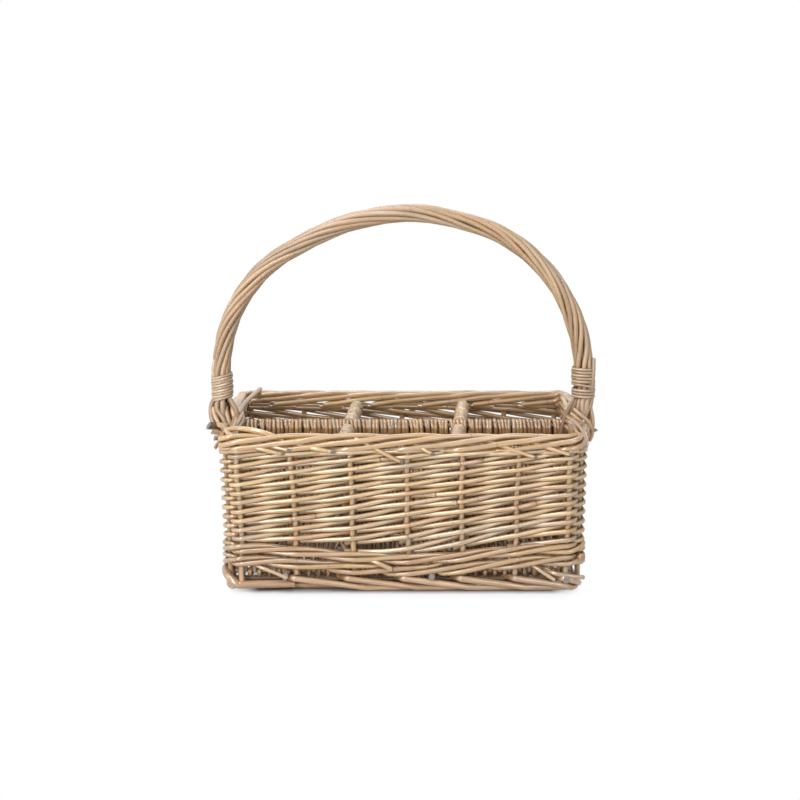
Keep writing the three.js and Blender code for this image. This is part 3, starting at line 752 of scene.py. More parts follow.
def border_offset(places, passed):
    """A turned-over stake goes behind the next upright, comes out in front, and crosses the top of the
    border to the inside. It passes outside the handle's leg on its way up."""
    behind = -BORDER_BEHIND * smooth_step(passed / 0.25)
    out = smooth_step((passed - BORDER_EMERGES + 0.22) / 0.36)
    crossing = smooth_step((passed - BORDER_CROSSES) / (BORDER_CROSSED - BORDER_CROSSES))
    offset = behind + (BORDER_SPREAD - behind) * out - 2 * BORDER_SPREAD * crossing
    offset = offset - 1.5 * smooth_step((passed - BORDER_CROSSED) / (BORDER_ENDS - BORDER_CROSSED))
    lean = leg_lean(border_height(passed))
    room = BOW_RADIUS + ARM_RADIUS + 0.6
    for leg in LEGS:
        distance = np.mod(places - leg + WALL_ROUND / 2, WALL_ROUND) - WALL_ROUND / 2
        near = np.where(np.abs(distance) < LEG_BULGE, np.cos(QUARTER_TURN * distance / LEG_BULGE) ** 2, 0)
        outward = near * np.maximum(lean + room + 2 * ROPE_RADIUS - offset, 0)
        inward = near * np.minimum(lean - room - offset, 0)
        offset = offset + np.where((passed > 1) & (passed < 2), outward, np.where(passed > 2, inward, 0))
    return offset


STAKE_FOOT = FOOT_TOP + 1.5
FIRST_STAKE_FOOT = 6.0
UPRIGHT_STATIONS = 26
ARM_PASSED = np.concatenate(([0.03, 0.07, 0.12, 0.18], np.linspace(0.26, BORDER_ENDS, 86)))


def stake_path(index, place, foot, lean):
    """A stake from its foot to the border, with a bend to the right there, and on through the border."""
    heights = np.linspace(foot, BORDER_BOTTOM - 2.0 + rim_lift(place), UPRIGHT_STATIONS)
    leaning = lean * np.linspace(1, -1, UPRIGHT_STATIONS)
    upright = on_wall(place + leaning + wander(heights, index, 90, 0.8), 0.0, heights)
    places = place_after(index, ARM_PASSED)
    bend = 1.3 * np.exp(-((ARM_PASSED / 0.06) ** 2))
    climb = border_height(ARM_PASSED) - bend + rim_lift(places) + wander(places, 60 + index, 80, 0.35)
    return np.concatenate((upright, on_wall(places, border_offset(places, ARM_PASSED), climb)))


# Loose tips under the border, as (where the tip ends along its side, its run, its drop)
FRONT_TIPS = ((37.3, 27, 5.8), (42.4, 16, 2.5), (78.1, 24, 4), (133.1, 25, 12.6), (158.6, 12, 6),
              (242.2, 26, 8.7), (270.7, 22, 6.4))
OTHER_TIPS = ((36.0, 24, 8), (88.0, 18, 6), (129.0, 28, 10), (165.0, 14, 5))
TIP_REACH = {"front": 7.4, "right": 9.0, "back": 7.4, "left": 9.0}


def border_tip(place, run, drop, reach):
    """A tip that comes out under the border and points down to the right."""
    along = np.array([-1.5, -1.1, -0.6, 0.0]) * run
    height = BORDER_BOTTOM + rim_lift(place) + 6.5 - drop * np.array([-0.45, -0.1, 0.4, 1.0])
    offsets = -3.0 + (reach + 3.0) * np.array([0.0, 0.4, 0.77, 1.0])
    return curve_through(on_wall(place + along, offsets, height))


# A rod of the border that rides over the front left corner
CORNER_ROD = ((-151, -50, 127), (-147, -70, 131.8), (-137, -84, 135.2), (-123, -91, 134.6),
              (-110, -93, 131.2), (-100, -92, 126.5))
# Share of stain and painted shade on the uprights, their extra weathering, and the share on the border
UPRIGHT_WASH_AND_SHADE = 0.7
UPRIGHT_WEATHER = 0.35
BORDER_WASH_AND_SHADE = 0.22


def add_stakes():
    """Each stake stands in the wall, turns to the right at the top and becomes a rod of the border."""
    for start, side in zip(SIDE_START, SIDE_NAMES):
        bundle = Bundle(100 + SIDE_NAMES.index(side))
        nodes = []
        for index, (place, _, name) in enumerate(STAKES):
            if not name.startswith(f"stake_{side}"):
                continue
            foot = STAKE_FOOT if nodes else FIRST_STAKE_FOOT
            path = stake_path(index, place, foot, STAKE_LEAN[len(nodes)])
            nodes.append(name)
            stations = np.arange(len(path))
            thinner = smooth_step((stations - UPRIGHT_STATIONS + 2) / 10)
            radii = STAKE_RADIUS + (ARM_RADIUS - STAKE_RADIUS) * thinner
            radii = radii * (1 + wander(stations * 3.0, 80 + index, 40, 0.025))
            # Back stakes take a darker tone as painted shade
            own = bundle.tone(BACK_STAKE_PAINTED_SHADE_TONE if side == "back" else STAKE_TONE)
            tones = np.tile(own, (len(path), 1))
            upright = stations < UPRIGHT_STATIONS
            tones[upright, 2] = np.clip(tones[upright, 2] + UPRIGHT_WEATHER, 0, 1)
            washed = np.where(upright, UPRIGHT_WASH_AND_SHADE, BORDER_WASH_AND_SHADE)
            # Flanks and backs are darkened by stain and painted shade, less on the border
            bundle.add(path, radii, tones, sides=10, slant=(0, 0.8), outward=wall_outward, washed=washed)
        for place, run, drop in FRONT_TIPS if side == "front" else OTHER_TIPS:
            path = border_tip(start + place, run, drop, TIP_REACH[side])
            radius = TIP_RADIUS * bundle.dice.uniform(0.85, 1.05)
            # The tips' flanks and backs are darkened by stain and painted shade too
            bundle.add_tapered(path, radius * 1.08, radius * 0.7, 90, bundle.tone(TIP_TONE), sides=10,
                               bevel=bundle.dice.uniform(0.9, 1.5), outward=wall_outward)
        if side == "front":
            bundle.add(curve_through(CORNER_ROD), ARM_RADIUS, bundle.tone(CORNER_ROD_TONE), sides=10)
        bundle.build(f"stakes_{side}", "stake_willow", *nodes)


# Wale and siding


# How far a rod of the wale sways up and down, and the upright from which the first one starts
WALE_SWAY = 3.0
WALE_JOIN = 12
WALE_LOW = BASE_TOP - 2.4 + WALE_RADIUS
WALE_STEP = 0.62 * (WALE_TOP - WALE_RADIUS - WALE_LOW)
WALE_TIP = ((-30, -98, 27.5), (-20.2, -101.5, 24.2), (-9.6, -103, 19.7))


def add_wale():
    """Two rounds of three rods, each rod in front of two uprights and behind one."""
    bundle = Bundle(31)
    for turn in range(WALE_ROUNDS):
        for number in range(WALE_RODS):
            seed = 33 + WALE_RODS * turn + number

            def height_at(step, places, offsets, turn=turn, seed=seed):
                sway = WALE_SWAY * np.cos(FULL_TURN * (np.mod(step, WALE_RODS) - 2.2) / WALE_RODS)
                level = WALE_LOW + WALE_SWAY - 0.8 + WALE_STEP * turn + sway + 0.6 * step / len(UPRIGHTS)
                height = level + settle(places, np.minimum(level, WALE_TOP))
                height = height + wander(places, seed, 120, 0.4)
                above_base = np.maximum(BASE_TOP - height, 0)
                return height + above_base * smooth_step((1 - offsets) / 3)

            path = woven_path(WALE_JOIN + number, len(UPRIGHTS), WALE_RODS, height_at, WALE_RADIUS)
            tones = bundle.pieced_tones(len(path), 6, WALE_TONE)
            # Flanks and back are darkened by stain and painted shade
            bundle.add_tapered(path, WALE_RADIUS * 1.03, WALE_RADIUS * 0.94, seed, tones, sides=10,
                               outward=wall_outward, washed=0.65)
    bundle.add(curve_through(WALE_TIP), WALE_RADIUS * 0.9, CREAM, slant=(0.0, 0.8))
    bundle.build("wale", "wale_willow", "wale_rod_1", "wale_rod_2")


# Where one length of willow ends on the next: its swelling, how far on and thick the next begins,
# and the painted shadow that the step casts on it
BUTT_SWELL = 1.12
BUTT_STEPS = np.array([0.4, 2.2])
BUTT_STEP_SHARES = np.array([0.8, 0.9])
BUTT_STEP_SHADOW = np.array([0.75, 0.15])


def with_butts(path, radii, tones):
    """A pieced rod with a step wherever one length of willow ends on the next."""
    for end in np.flatnonzero(np.any(np.diff(tones, axis=0), axis=1))[::-1]:
        ahead = path[end + 1] - path[end]
        length = np.linalg.norm(ahead)
        steps = BUTT_STEPS * min(1.0, 0.6 * length / BUTT_STEPS[-1]) / length
        begun = np.tile(tones[end + 1], (2, 1))
        # The next length begins with a painted shadow of the step
        begun[:, 3] = np.maximum(begun[:, 3], BUTT_STEP_SHADOW)
        path = np.insert(path, end + 1, path[end] + np.outer(steps, ahead), axis=0)
        radii = np.insert(radii, end + 1, radii[end] * BUTT_STEP_SHARES)
        tones = np.insert(tones, end + 1, begun, axis=0)
        radii[end] *= BUTT_SWELL
    return path, radii, tones


# The siding's rods are pressed flat against the wall
SIDING_FLATNESS = 0.74
SIDING_ROOM = SIDING_FLATNESS * (SIDING_BUTT + SIDING_TIP) / 2 + 0.5
SIDING_LOW = WALE_TOP - 1.6
SIDING_PITCH = (BORDER_BOTTOM + SIDING_TIP - SIDING_LOW) / SIDING_ROWS
SIDING_SLOPE = SIDING_RODS * SIDING_PITCH / WALL_ROUND
# The rows between which a rod may begin and end, and how much of its climb is left beyond the weave
SIDING_ENDS = (-1.2, 23.0)
PRESSED = 0.4
# Pieces of rosy rods at the front: from and to along the length, and their height to begin with
ROSY_LENGTHS = ((-50.0, -9.0, 108.0), (47.0, 88.0, 108.0), (-92.0, -72.0, 60.0), (70.0, 120.0, 70.0))


def siding_rows(places, rod):
    """The rows that a rod of the siding has climbed at places along the wall."""
    return SIDING_RODS * np.asarray(places) / WALL_ROUND - rod


def siding_path(rod):
    """A rod of the siding, which begins and ends inside."""
    inside = [upright for upright in range(rod % 2, 3 * len(UPRIGHTS), 2)
              if SIDING_ENDS[0] < siding_rows(place_of(UPRIGHTS, upright), rod) < SIDING_ENDS[1]]

    def height_at(_, places, __):
        rows = siding_rows(places, rod)
        held = np.clip(rows, 0, SIDING_ROWS - 0.5)
        height = SIDING_LOW + SIDING_PITCH * (held + PRESSED * (rows - held))
        return height + settle(places, height) + wander(places, 400 + rod, 160, 0.22)

    return woven_path(inside[0], inside[-1] - inside[0], 2, height_at, SIDING_ROOM)


def add_siding():
    """French rand: rods that go in front of one upright and behind the next, climbing to the right."""
    for number in range(WEAVERS):
        bundle = Bundle(40 + number)
        for rod in range(number, SIDING_RODS, WEAVERS):
            path = siding_path(rod)
            x, y, z = path.T
            tones = bundle.pieced_tones(len(path), 2, SIDING_TONE)
            for start, end, height in ROSY_LENGTHS:
                near = (y < -WALL_DEPTH / 2) & (x > start) & (x < end)
                above = z - height - SIDING_SLOPE * (x - start)
                tones[near & (np.abs(above) < SIDING_PITCH / 2)] = ROSY
            radii = tapered(path, SIDING_BUTT, SIDING_TIP, 500 + rod)
            at_back = y > WALL_DEPTH / 2 - CORNER_RADIUS
            radii = np.where(at_back, np.maximum(radii, BACK_ROD_RADIUS), radii)
            path, radii, tones = with_butts(path, radii, tones)
            # Flanks and back are darkened by stain and painted shade
            bundle.add(path, radii, tones, sides=10, normals=across_wall(path), flatness=SIDING_FLATNESS,
                       outward=wall_outward)
        bundle.build(f"siding_rods_{number + 1}", "siding_willow", f"weaver_{number + 1}")


# Dividers


DIVIDER_STICKS = 5
LONG_STICK_RADIUS = 2.3
LONG_STRAND_RADIUS = 1.85
LONG_HALF_THICKNESS = LONG_STICK_RADIUS + 2 * LONG_STRAND_RADIUS
# Radii of a divider's sticks and strands, and pitch, most lean, tone and look of its strands
LONG_RODS = (LONG_STICK_RADIUS, LONG_STRAND_RADIUS, 3.2, 0.9, LONG_STRAND_TONE, "fine_willow")
CROSS_RODS = (3.0, 1.5, 3.5, 4.5, CROSS_STRAND_TONE, "cross_willow")
LONG_TOP = node_box("long_divider_weave")[1][2] + 2.5
LONG_END = node_box("long_divider_weave")[1][0]
CROSS_TOP = node_box("left_divider_weave")[1][2] - 2.6
CROSS_END = node_box("left_divider_weave")[1][1]
CROSS_X = np.mean([corner[0] for corner in node_box("right_divider_weave")])
CROSS_SKEW = 0.06
CROSS_BACK_RISE = 3.2
CROSS_FRONT_DROP = 2.4
CROSS_DROP_LENGTH = 5.0


def in_divider(name, along, height, out):
    """Points by how far along a divider, how high and how far out of its middle they lie. The two across
    the basket stand askew, rise towards the back and are lower in front of the long one."""
    along, height, out = np.broadcast_arrays(along, height, out)
    if name == "long":
        return np.stack((along, out, height), axis=-1)
    middle = CROSS_X if name == "right" else -CROSS_X
    lift = CROSS_BACK_RISE * np.maximum(along, 0) / CROSS_END
    lift = lift - CROSS_FRONT_DROP * smooth_step(-along / CROSS_DROP_LENGTH)
    return np.stack((middle + out + CROSS_SKEW * along, along, height + lift), axis=-1)


def divider_loop(along, lean, heights, top, out):
    """A strand that goes up one face of a divider, over its last stick and down the other face, woven in
    and out of the sticks between: how far along, how high and how far out it lies."""
    faces = out * (-1) ** np.arange(1, len(heights))[::-1]
    below = list(zip(heights[:-1], faces))
    points = [(along - lean, height, face) for height, face in below]
    for angle in np.radians((10, 50, 90, 130, 170)):
        shift = (angle / math.pi - 0.5) * 2 * lean
        points.append((along + shift, top + out * math.sin(angle), out * math.cos(angle)))
    points += [(along + lean, height, -face) for height, face in below[::-1]]
    return curve_through(points, 5.0)


def add_divider(number, name, top, end, parting, rods):
    """One divider. Its strands leave room for another that it crosses, by a parting in its middle."""
    stick, strand, pitch, most_lean, tone, look = rods
    upper = top - stick - 2 * strand
    lower = node_box(f"{name}_divider_lower_rail")[0][2] + stick
    heights = np.linspace(lower, upper, DIVIDER_STICKS)
    sticks = Bundle(50 + number)
    for index, height in enumerate(heights):
        path = in_divider(name, np.linspace(-end, end, 20), height, 0.0)
        sticks.add_tapered(path, stick, stick * 0.92, 51 + index, sticks.tone(DIVIDER_STICK_TONE))
    sticks.build(f"{name}_divider_sticks", "stick_willow",
                 f"{name}_divider_lower_rail", f"{name}_divider_upper_rail")

    strands = Bundle(60 + number)
    aside = (0, 1, 0) if name == "long" else (1, 0, 0)
    for start, stop in ((-end, -parting), (parting, end)):
        for turn in range(round((stop - start) / pitch)):
            along = start + pitch * (turn + 0.5) + strands.dice.uniform(-0.5, 0.5)
            lean = pitch / 4 + strands.dice.uniform(-most_lean, most_lean)
            over = upper + strands.dice.uniform(-0.3, 0.5)
            loop = divider_loop(along, lean, heights, over, stick + strand)
            path = in_divider(name, *loop.T)
            butt = strand * strands.dice.uniform(0.8, 1.25)
            above = np.maximum(loop[:, 1] - upper, 0)
            facing = unit(np.outer(loop[:, 2], aside) + np.outer(above, (0, 0, 1)))
            # Flanks and back, facing from the panel, are darkened by stain and painted shade
            strands.add_tapered(path, butt, strand * 0.95, 40 * turn, strands.tone(tone), 0.05, sides=6,
                                outward=lambda _: facing)
    strands.build(f"{name}_divider_strands", "fine_willow", f"{name}_divider_weave", look=look)


# Handle


ARCH_LEAN = 6.0
LEG_INSET = 2.3
LEG_SPREAD = 0.15
ROPE_LAY = BOW_RADIUS + ROPE_RADIUS + 0.1


def arch_lean(shares):
    """How far the hoop leans to the right. Its top leans most, and its right leg stands in a little."""
    top = smooth_step((np.sin(math.pi * np.asarray(shares)) - 0.6) / 0.4)
    return ARCH_LEAN * top - LEG_INSET * smooth_step((np.asarray(shares) - 0.72) / 0.2)


def lay_of(shares):
    """Distance of the roping's rods from the bow's axis: they lie looser on the right leg."""
    return ROPE_LAY * (1 + LEG_SPREAD * smooth_step((np.asarray(shares) - 0.78) / 0.15))


def on_arch(shares, offset, angles):
    """Points on the hoop at shares of its sweep, off its axis by an offset at an angle: 0 outwards,
    a quarter turn to the front."""
    sweep = shares * math.pi
    level = np.zeros_like(sweep)
    out = unit(np.stack((-np.cos(sweep) / LEG_X, level, np.sin(sweep) / ARCH_RISE), axis=-1))
    points = np.stack((arch_lean(shares) - LEG_X * np.cos(sweep), level,
                       ARCH_SPRING + ARCH_RISE * np.sin(sweep)), axis=-1)
    wobble = wander(shares * 470, 77, 150, 0.9) * np.sin(sweep)
    points = points + out * (offset * np.cos(angles) + wobble)[:, None]
    points[:, 1] -= offset * np.sin(angles)
    return points


def at_leg(side, out, y, height):
    return (side * (WALL_LENGTH / 2 + out), y, height)


# Feet of the strands that show at the front, by their number on the roping, from the binding down
LEFT_FEET = {
    0: ((-163, -2, 147.5), (-165.6, -3, 144), (-166.8, -5, 136), (-165, -8, 128), (-160.5, -11, 121),
        (-156, -12, 115)),
    1: ((-160.4, -4.5, 147.5), (-161.7, -6, 139), (-156.2, -9, 131), (-153.8, -11, 125), (-152, -10, 116)),
    2: ((-156.6, -5.9, 147.5), (-156.6, -7, 141), (-156.2, -7, 135.5), (-153.5, -5, 129)),
    3: ((-151.6, -3.5, 148.5), (-148.3, -6.5, 144), (-145.2, -8, 138), (-143.8, -8, 131),
        (-143.2, -8, 120)),
}
RIGHT_FEET = {
    0: ((162.7, -2, 150), (161.6, -3.5, 145), (158.5, -5, 137), (155, -5, 130)),
    1: ((159.5, -5, 150), (157.6, -7, 143), (157.3, -7, 138), (155.5, -6, 130)),
    2: ((155.5, -5.8, 150), (154, -7.2, 143), (154, -7.5, 138), (154.5, -6, 131)),
    3: ((152.2, -3.5, 150), (150.4, -6, 143), (150.5, -5, 133)),
    4: ((151.2, -1, 151), (146.5, -5, 145), (141.4, -8, 137), (137.8, -9, 127), (135.4, -9, 115)),
    5: ((151.8, -0.5, 151), (149.4, -5, 146), (144.6, -7, 137), (141.0, -8, 127), (138.6, -8, 115)),
}
BROWN_FEET = (4, 5)
BROWN_STATIONS = 16


def rope_foot(side, number, angle):
    """A strand's foot from its tip up to the binding. Those that show have their own run; the others
    go down outside the border, into it or inside it."""
    known = LEFT_FEET if side < 0 else RIGHT_FEET
    if number in known:
        return known[number][::-1]
    out_share, front_share = math.cos(angle), -math.sin(angle)
    lean_low = float(leg_lean(BORDER_BOTTOM + 3.0))
    lean_high = float(leg_lean(RIM_TOP + 1.0))
    if out_share > 0.35:
        out = (10.0, lean_low + BOW_RADIUS + 2 * ARM_RADIUS + ROPE_RADIUS + 1.0)
        spread = (13.0, 12.5)
    elif out_share > -0.35:
        out = (2.0 + 5 * out_share, 5.0 + 6 * out_share)
        spread = (17.0, 14.5)
    else:
        out = (-8.5, -7.5)
        spread = (12.0, 11.0)
    return [
        at_leg(side, out[0], spread[0] * front_share, BORDER_BOTTOM - 7.0),
        at_leg(side, out[1], spread[1] * front_share, BORDER_BOTTOM + 3.0),
        at_leg(side, lean_high + 7.5 * out_share, 9.5 * front_share, RIM_TOP + 1.0),
        at_leg(side, LEG_OUT + ROPE_LAY * out_share, ROPE_LAY * front_share, BINDING_BOTTOM + 3.0),
    ]


# Rods that cross the border by the handle's feet, and ends that stick out: points, radius, flatness, tone
LOOSE_RODS = (
    (((-163.2, -1.5, 158), (-164.3, -2, 170), (-164.4, -2, 175), (-162.6, -1.5, 181)), 1.9, 1.0, CREAM),
    (((-165.5, -4, 140), (-163.7, -8, 134), (-160.2, -12, 128), (-154.4, -14, 121), (-149, -12, 113)),
     1.8, 1.0, CREAM),
    (((-154, -3, 140), (-153.5, -6, 136.5), (-151.3, -10, 130), (-148.7, -12, 122.5), (-147, -11, 114)),
     1.9, 1.0, BEIGE),
    (((-148.5, -3, 141), (-148.0, -7, 137.5), (-146.4, -10.5, 131.5), (-147.5, -12, 124), (-150, -11, 115)),
     1.9, 1.0, CREAM),
    (((-150, -4, 122), (-160, -10, 124), (-168.5, -14, 125.5)), 3.4, 1.0, DARK_END),
    (((-150, -12, 117), (-158, -17, 119.5), (-164.6, -20, 121.3)), 2.3, 1.0, CREAM),
    (((-146, -40, 121), (-153, -46, 121.4), (-160.2, -50, 121)), 2.2, 1.0, DINGY),
    (((-146, -50, 118), (-151, -55, 119.6), (-156.4, -58, 120)), 2.2, 1.0, DINGY),
    (((-147.5, 6, 133.5), (-147.2, 30, 136.6), (-146.4, 60, 137.8), (-145.6, 86, 138.4)),
     1.4, 3.0, BLEACHED),
    (((-143.5, -6, 134.6), (-141.3, 20, 136.9), (-137, 58, 138.4), (-130.8, 97, 140)), 2.2, 1.0, BEIGE),
    (((161, -5, 150), (163, -5.5, 166), (163.6, -5, 183)), 1.8, 1.0, DRAB),
    (((143, -1, 142), (146, -6, 139.5), (151.7, -11, 135), (157.8, -13, 129.5), (161.3, -13, 124),
      (162.3, -11, 118), (160, -9, 111)), 2.0, 1.0, BEIGE),
    (((140, -2, 138), (143, -6, 136), (147.4, -10, 133), (153.8, -13, 127), (157.5, -13.5, 122.5),
      (159, -12, 114)), 2.1, 1.0, BEIGE),
    (((140.5, -5, 133), (143.5, -9, 130), (148.3, -14, 123.5), (154, -17, 117), (156, -17, 110)),
     2.3, 1.0, BEIGE),
    (((162, -1, 147), (161.3, -2, 141), (163.2, -3, 131), (163.4, -4, 122), (161, -4, 113)),
     1.8, 1.0, CREAM),
    (((152, -4, 114), (160, -6, 117.5), (166.4, -8, 121)), 1.6, 1.0, BEIGE),
    (((142, -72, 122), (139.8, -77, 131), (138.4, -80, 138)), 3.1, 0.8, CREAM),
)


def bow_path(step=4.0):
    """The axis of the bow, from one foot to the other."""
    left = [at_leg(-1, 0, 0, FOOT_TOP + 0.4), at_leg(-1, 0, 0, 60.0), at_leg(-1, 0, 0, BORDER_BOTTOM - 5.0),
            at_leg(-1, LEG_OUT, 0, BINDING_BOTTOM)]
    right = [(-x, y, z) for x, y, z in left[::-1]]
    arch = on_arch(np.linspace(0, 1, 90), 0.0, np.zeros(90))
    return curve_through(np.concatenate((left, arch, right)), step)


def handle_outward(path):
    """Directions from the nearest points of the bow's axis to the points of a path."""
    axis = bow_path(1.0)
    nearest = np.argmin(np.linalg.norm(path[:, None] - axis[None], axis=-1), axis=1)
    return unit(path - axis[nearest])


# The roping is painted darker on its left leg and lighter on its right, as painted shade, and its
# flanks and backs take least stain and painted shade at the top
ROPE_PAINTED_SHADE = 0.26
ROPE_WASH_AND_SHADE = ((0.0, 0.3, 0.5, 0.75, 1.0), (0.6, 0.45, 0.05, 0.2, 0.3))


def add_handle():
    """A thick bow, and thinner rods laid round it that straddle the border at each end."""
    bow = Bundle(71)
    bow.add(bow_path(), BOW_RADIUS, bow.tone(BOW_TONE), sides=12)
    bow.build("handle_core", "stake_willow", "handle_bow")

    roping = Bundle(72)
    shares = np.linspace(0, 1, 150)
    turned = ROPE_TURNS * FULL_TURN * (shares + 0.035 * np.sin(FULL_TURN * shares))
    for number in range(ROPE_STRANDS):
        angles = (number + 0.5) * FULL_TURN / ROPE_STRANDS + turned
        angles = angles + wander(shares * 500, 700 + number, 130, 0.12)
        arch = on_arch(shares, lay_of(shares), angles)
        arch += wander(shares * 500, 730 + number, 90, 0.25)[:, None]
        left = rope_foot(-1, number, angles[0])
        right = rope_foot(1, number, angles[-1])[::-1]
        path = curve_through(np.concatenate((left, arch[::3], right)), 3.0)
        way = np.linspace(0, 1, len(path))
        tones = np.tile(roping.tone(ROPE_TONE), (len(path), 1))
        # Painted shade: darker towards the left leg, lighter towards the right
        tones[:, 0] = np.clip(tones[:, 0] + ROPE_PAINTED_SHADE * (1 - 2 * way), 0, 1)
        if number in BROWN_FEET:
            tones[-BROWN_STATIONS:] = BROWN
        # Flanks and backs are darkened by stain and painted shade
        roping.add_tapered(path, ROPE_RADIUS * 1.12, ROPE_RADIUS, 760 + number, tones, sides=10,
                           outward=handle_outward, washed=np.interp(way, *ROPE_WASH_AND_SHADE))
    for points, radius, flatness, tone in LOOSE_RODS:
        roping.add_tapered(curve_through(points), radius, radius * 0.95, 790, tone, sides=10,
                           slant=(0.3, 0.4), flatness=flatness)
    roping.build("handle_roping", "rope_willow", *(f"handle_rope_{n + 1}" for n in range(ROPE_NODES)))


SKEIN_FLATNESS = 0.6
BAND_PARTING = 2.4


def add_binding(name, side, raised, slope, parted, seed):
    """Split willow wound round the roping, each turn close on the last. Its lower and upper edge stand
    raised by so much, its turns rise to the right by a slope, and it may be parted in two bands after so
    many turns."""
    bundle = Bundle(seed)
    leg = 0.0 if side < 0 else 1.0
    shares = np.linspace(0, 1, BINDING_TURNS * 28)
    angles = shares * BINDING_TURNS * FULL_TURN
    level = np.zeros_like(angles)
    parting = BAND_PARTING if parted else 0.0
    low = BINDING_BOTTOM + raised[0] + SKEIN_RADIUS
    run = BINDING_TOP + raised[1] - SKEIN_RADIUS - low - parting
    heights = low + run * shares + parting * smooth_step(3 * (angles / FULL_TURN - parted))
    lumps = 0.35 * np.cos(angles * ROPE_STRANDS / 2 + 0.4) + wander(shares * 600, seed, 60, 0.25)
    radius = float(lay_of(leg)) + ROPE_RADIUS + 0.9 + lumps
    out = np.stack((side * np.cos(angles), -np.sin(angles), level), axis=-1)
    middle = np.stack((level + side * LEG_X + float(arch_lean(leg)), level,
                       heights + side * slope * np.cos(angles)), axis=-1)
    patchy = np.outer(wander(shares * 600, seed + 1, 45, 0.3), (1, 0.4, 0, 0))
    tones = np.clip(bundle.tone(SKEIN_TONE) + patchy, 0, 1)
    # Flanks and back are darkened by stain and painted shade
    bundle.add(middle + out * radius[:, None], SKEIN_RADIUS, tones, normals=out, flatness=SKEIN_FLATNESS,
               outward=lambda _: out)
    bundle.build(f"{name}_skein", "skein_willow", name)


# Stage, light and camera, in metres


WHITE = (1, 1, 1, 1)
BLACK = (0, 0, 0, 1)
PAPER = (0.8, 0.8, 0.8, 1)
SHADED_PAPER = (0.82, 0.84, 0.87, 1)
FLOOR_SIZE = 3.0
# The shadow's half length and half depth, and how it lightens and fades to white beyond them
SHADE_LENGTH = 0.122
SHADE_DEPTH = 0.1
FLOOR_LIFT = 0.3
LIFT_LENGTH = 0.01
SHADOW_FADE = (0.0, 0.026)
# How near the willow the paper is darkened, as a painted contact shadow from occlusion, and how its
# openness there turns into light
CONTACT_REACH = 0.014
CONTACT_RANGE = (0.3, 0.95, 0.45, 1.0)
WORLD_LEVEL = 0.2


def add_floor():
    """White paper that keeps the basket's shadow under it and close around it."""
    mesh = bpy.data.meshes.new("floor")
    corners = [(x * FLOOR_SIZE, y * FLOOR_SIZE, 0) for x, y in ((-1, -1), (1, -1), (1, 1), (-1, 1))]
    mesh.from_pydata(corners, [], [(0, 1, 2, 3)])
    floor = bpy.data.objects.new("floor", mesh)
    bpy.context.scene.collection.objects.link(floor)

    material = bpy.data.materials.new("floor_white")
    mesh.materials.append(material)
    tree = Tree(material)
    axes = tree.add("SeparateXYZ", {"Vector": tree.add("NewGeometry")["Position"]})
    beyond = {}
    for axis, reach in (("X", SHADE_LENGTH), ("Y", SHADE_DEPTH)):
        away = tree.calculate("ABSOLUTE", axes[axis])
        beyond[axis] = tree.spread(away, reach, reach + FLOOR_SIZE, 0.0, FLOOR_SIZE)
    outside = tree.add("CombineXYZ", beyond)["Vector"]
    distance = tree.add("VectorMath", {0: outside}, operation="LENGTH")["Value"]
    lift = tree.spread(distance, 0.0, LIFT_LENGTH, 0.0, FLOOR_LIFT)
    shaded = tree.add("BsdfDiffuse", {"Color": SHADED_PAPER})[0]
    lifted = tree.add("Emission", {"Color": WHITE, "Strength": lift})[0]
    lit = tree.add("AddShader", {0: shaded, 1: lifted})[0]
    # Painted contact shadow: the paper darkens by its occlusion near the willow
    contact = tree.add("AmbientOcclusion", {"Distance": CONTACT_REACH}, samples=8)["AO"]
    dark = tree.add("Emission", {"Color": BLACK, "Strength": 0.0})[0]
    near = tree.mix_shaders(tree.spread(contact, *CONTACT_RANGE), dark, lit)
    white = tree.add("Emission", {"Color": WHITE, "Strength": 1.0})[0]
    seen = tree.mix_shaders(tree.spread(distance, *SHADOW_FADE), near, white)
    paper = tree.add("BsdfDiffuse", {"Color": PAPER})[0]
    tree.add("OutputMaterial", {"Surface": tree.mix_shaders(tree.seen_directly(), paper, seen)})


def add_world():
    world = bpy.data.worlds.new("studio")
    bpy.context.scene.world = world
    tree = Tree(world)
    strength = tree.spread(tree.seen_directly(), 0.0, 1.0, WORLD_LEVEL, 1.0)
    background = tree.add("Background", {"Color": WHITE, "Strength": strength})[0]
    tree.add("OutputWorld", {"Surface": background})


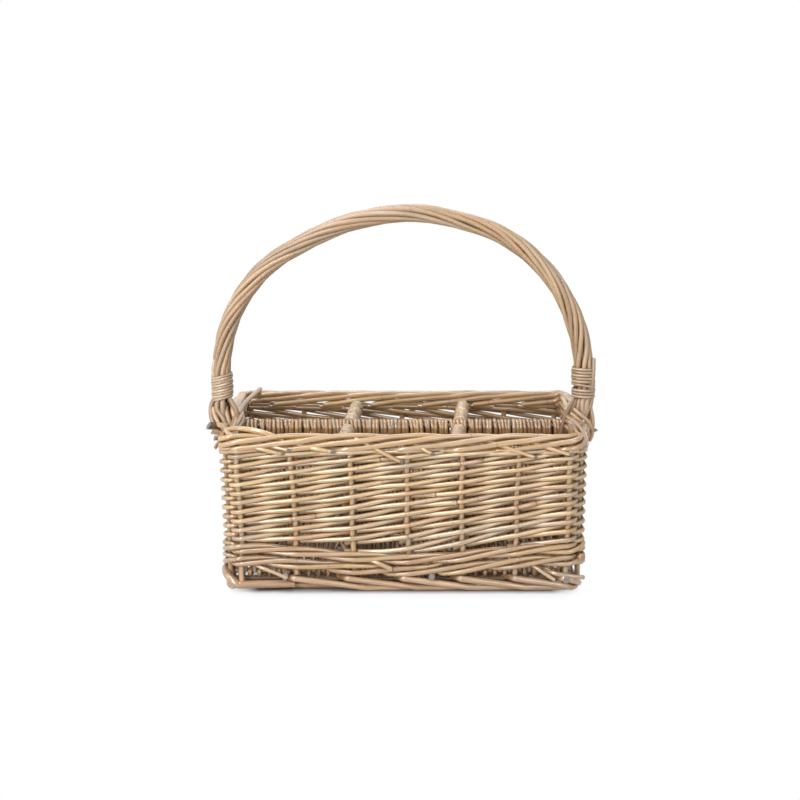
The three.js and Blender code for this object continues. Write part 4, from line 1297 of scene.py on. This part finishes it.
# Softboxes: place, height that each is aimed at, width and height, and power
SOFTBOXES = {
    "key_low": ((-1.0, -1.62, 0.72), 0.1, (0.6, 1.5), 18.0),
    "key_high": ((-0.65, -0.9, 1.7), 0.1, (0.6, 0.9), 11.0),
    "side": ((-1.7, -0.6, 0.6), 0.12, (0.7, 0.7), 5.0),
    "fill": ((0.75, -1.7, 0.8), 0.1, (0.7, 0.7), 5.6),
    "top": ((-0.1, 0.5, 1.5), 0.1, (1.0, 0.7), 9.5),
}


def add_softboxes():
    for name, (place, aim, size, power) in SOFTBOXES.items():
        lamp = bpy.data.lights.new(name, "AREA")
        lamp.shape = "RECTANGLE"
        lamp.size, lamp.size_y = size
        lamp.energy = power
        box = bpy.data.objects.new(name, lamp)
        box.location = place
        box.rotation_euler = (Vector((0, 0, aim)) - Vector(place)).to_track_quat("-Z", "Y").to_euler()
        bpy.context.scene.collection.objects.link(box)


CAMERA_PLACE = (0.0, -1.896, 0.453)
CAMERA_PITCH = math.radians(9.21)
FOCAL_PIXELS = 2217.0
FRAME_PIXELS = 800.0
MIDDLE_PIXEL = 404.0
SENSOR = 36.0


def add_camera():
    lens = bpy.data.cameras.new("camera")
    lens.sensor_width = SENSOR
    lens.lens = FOCAL_PIXELS / FRAME_PIXELS * SENSOR
    lens.shift_x = (FRAME_PIXELS / 2 - MIDDLE_PIXEL) / FRAME_PIXELS
    camera = bpy.data.objects.new("camera", lens)
    camera.location = CAMERA_PLACE
    camera.rotation_euler = (QUARTER_TURN - CAMERA_PITCH, 0, 0)
    bpy.context.scene.collection.objects.link(camera)
    bpy.context.scene.camera = camera


add_camera()
add_world()
add_floor()
add_softboxes()
bpy.context.scene.view_settings.view_transform = "Standard"

add_foot()
add_base()
add_stakes()
add_wale()
add_siding()
add_divider(0, "long", LONG_TOP, LONG_END, 0.0, LONG_RODS)
add_divider(1, "left", CROSS_TOP, CROSS_END, LONG_HALF_THICKNESS, CROSS_RODS)
add_divider(2, "right", CROSS_TOP, CROSS_END, LONG_HALF_THICKNESS, CROSS_RODS)
add_handle()
add_binding("binding_left", -1, (2.0, -0.5), 1.6, 0, 81)
add_binding("binding_right", 1, (3.5, 6.0), 0.2, 3, 82)
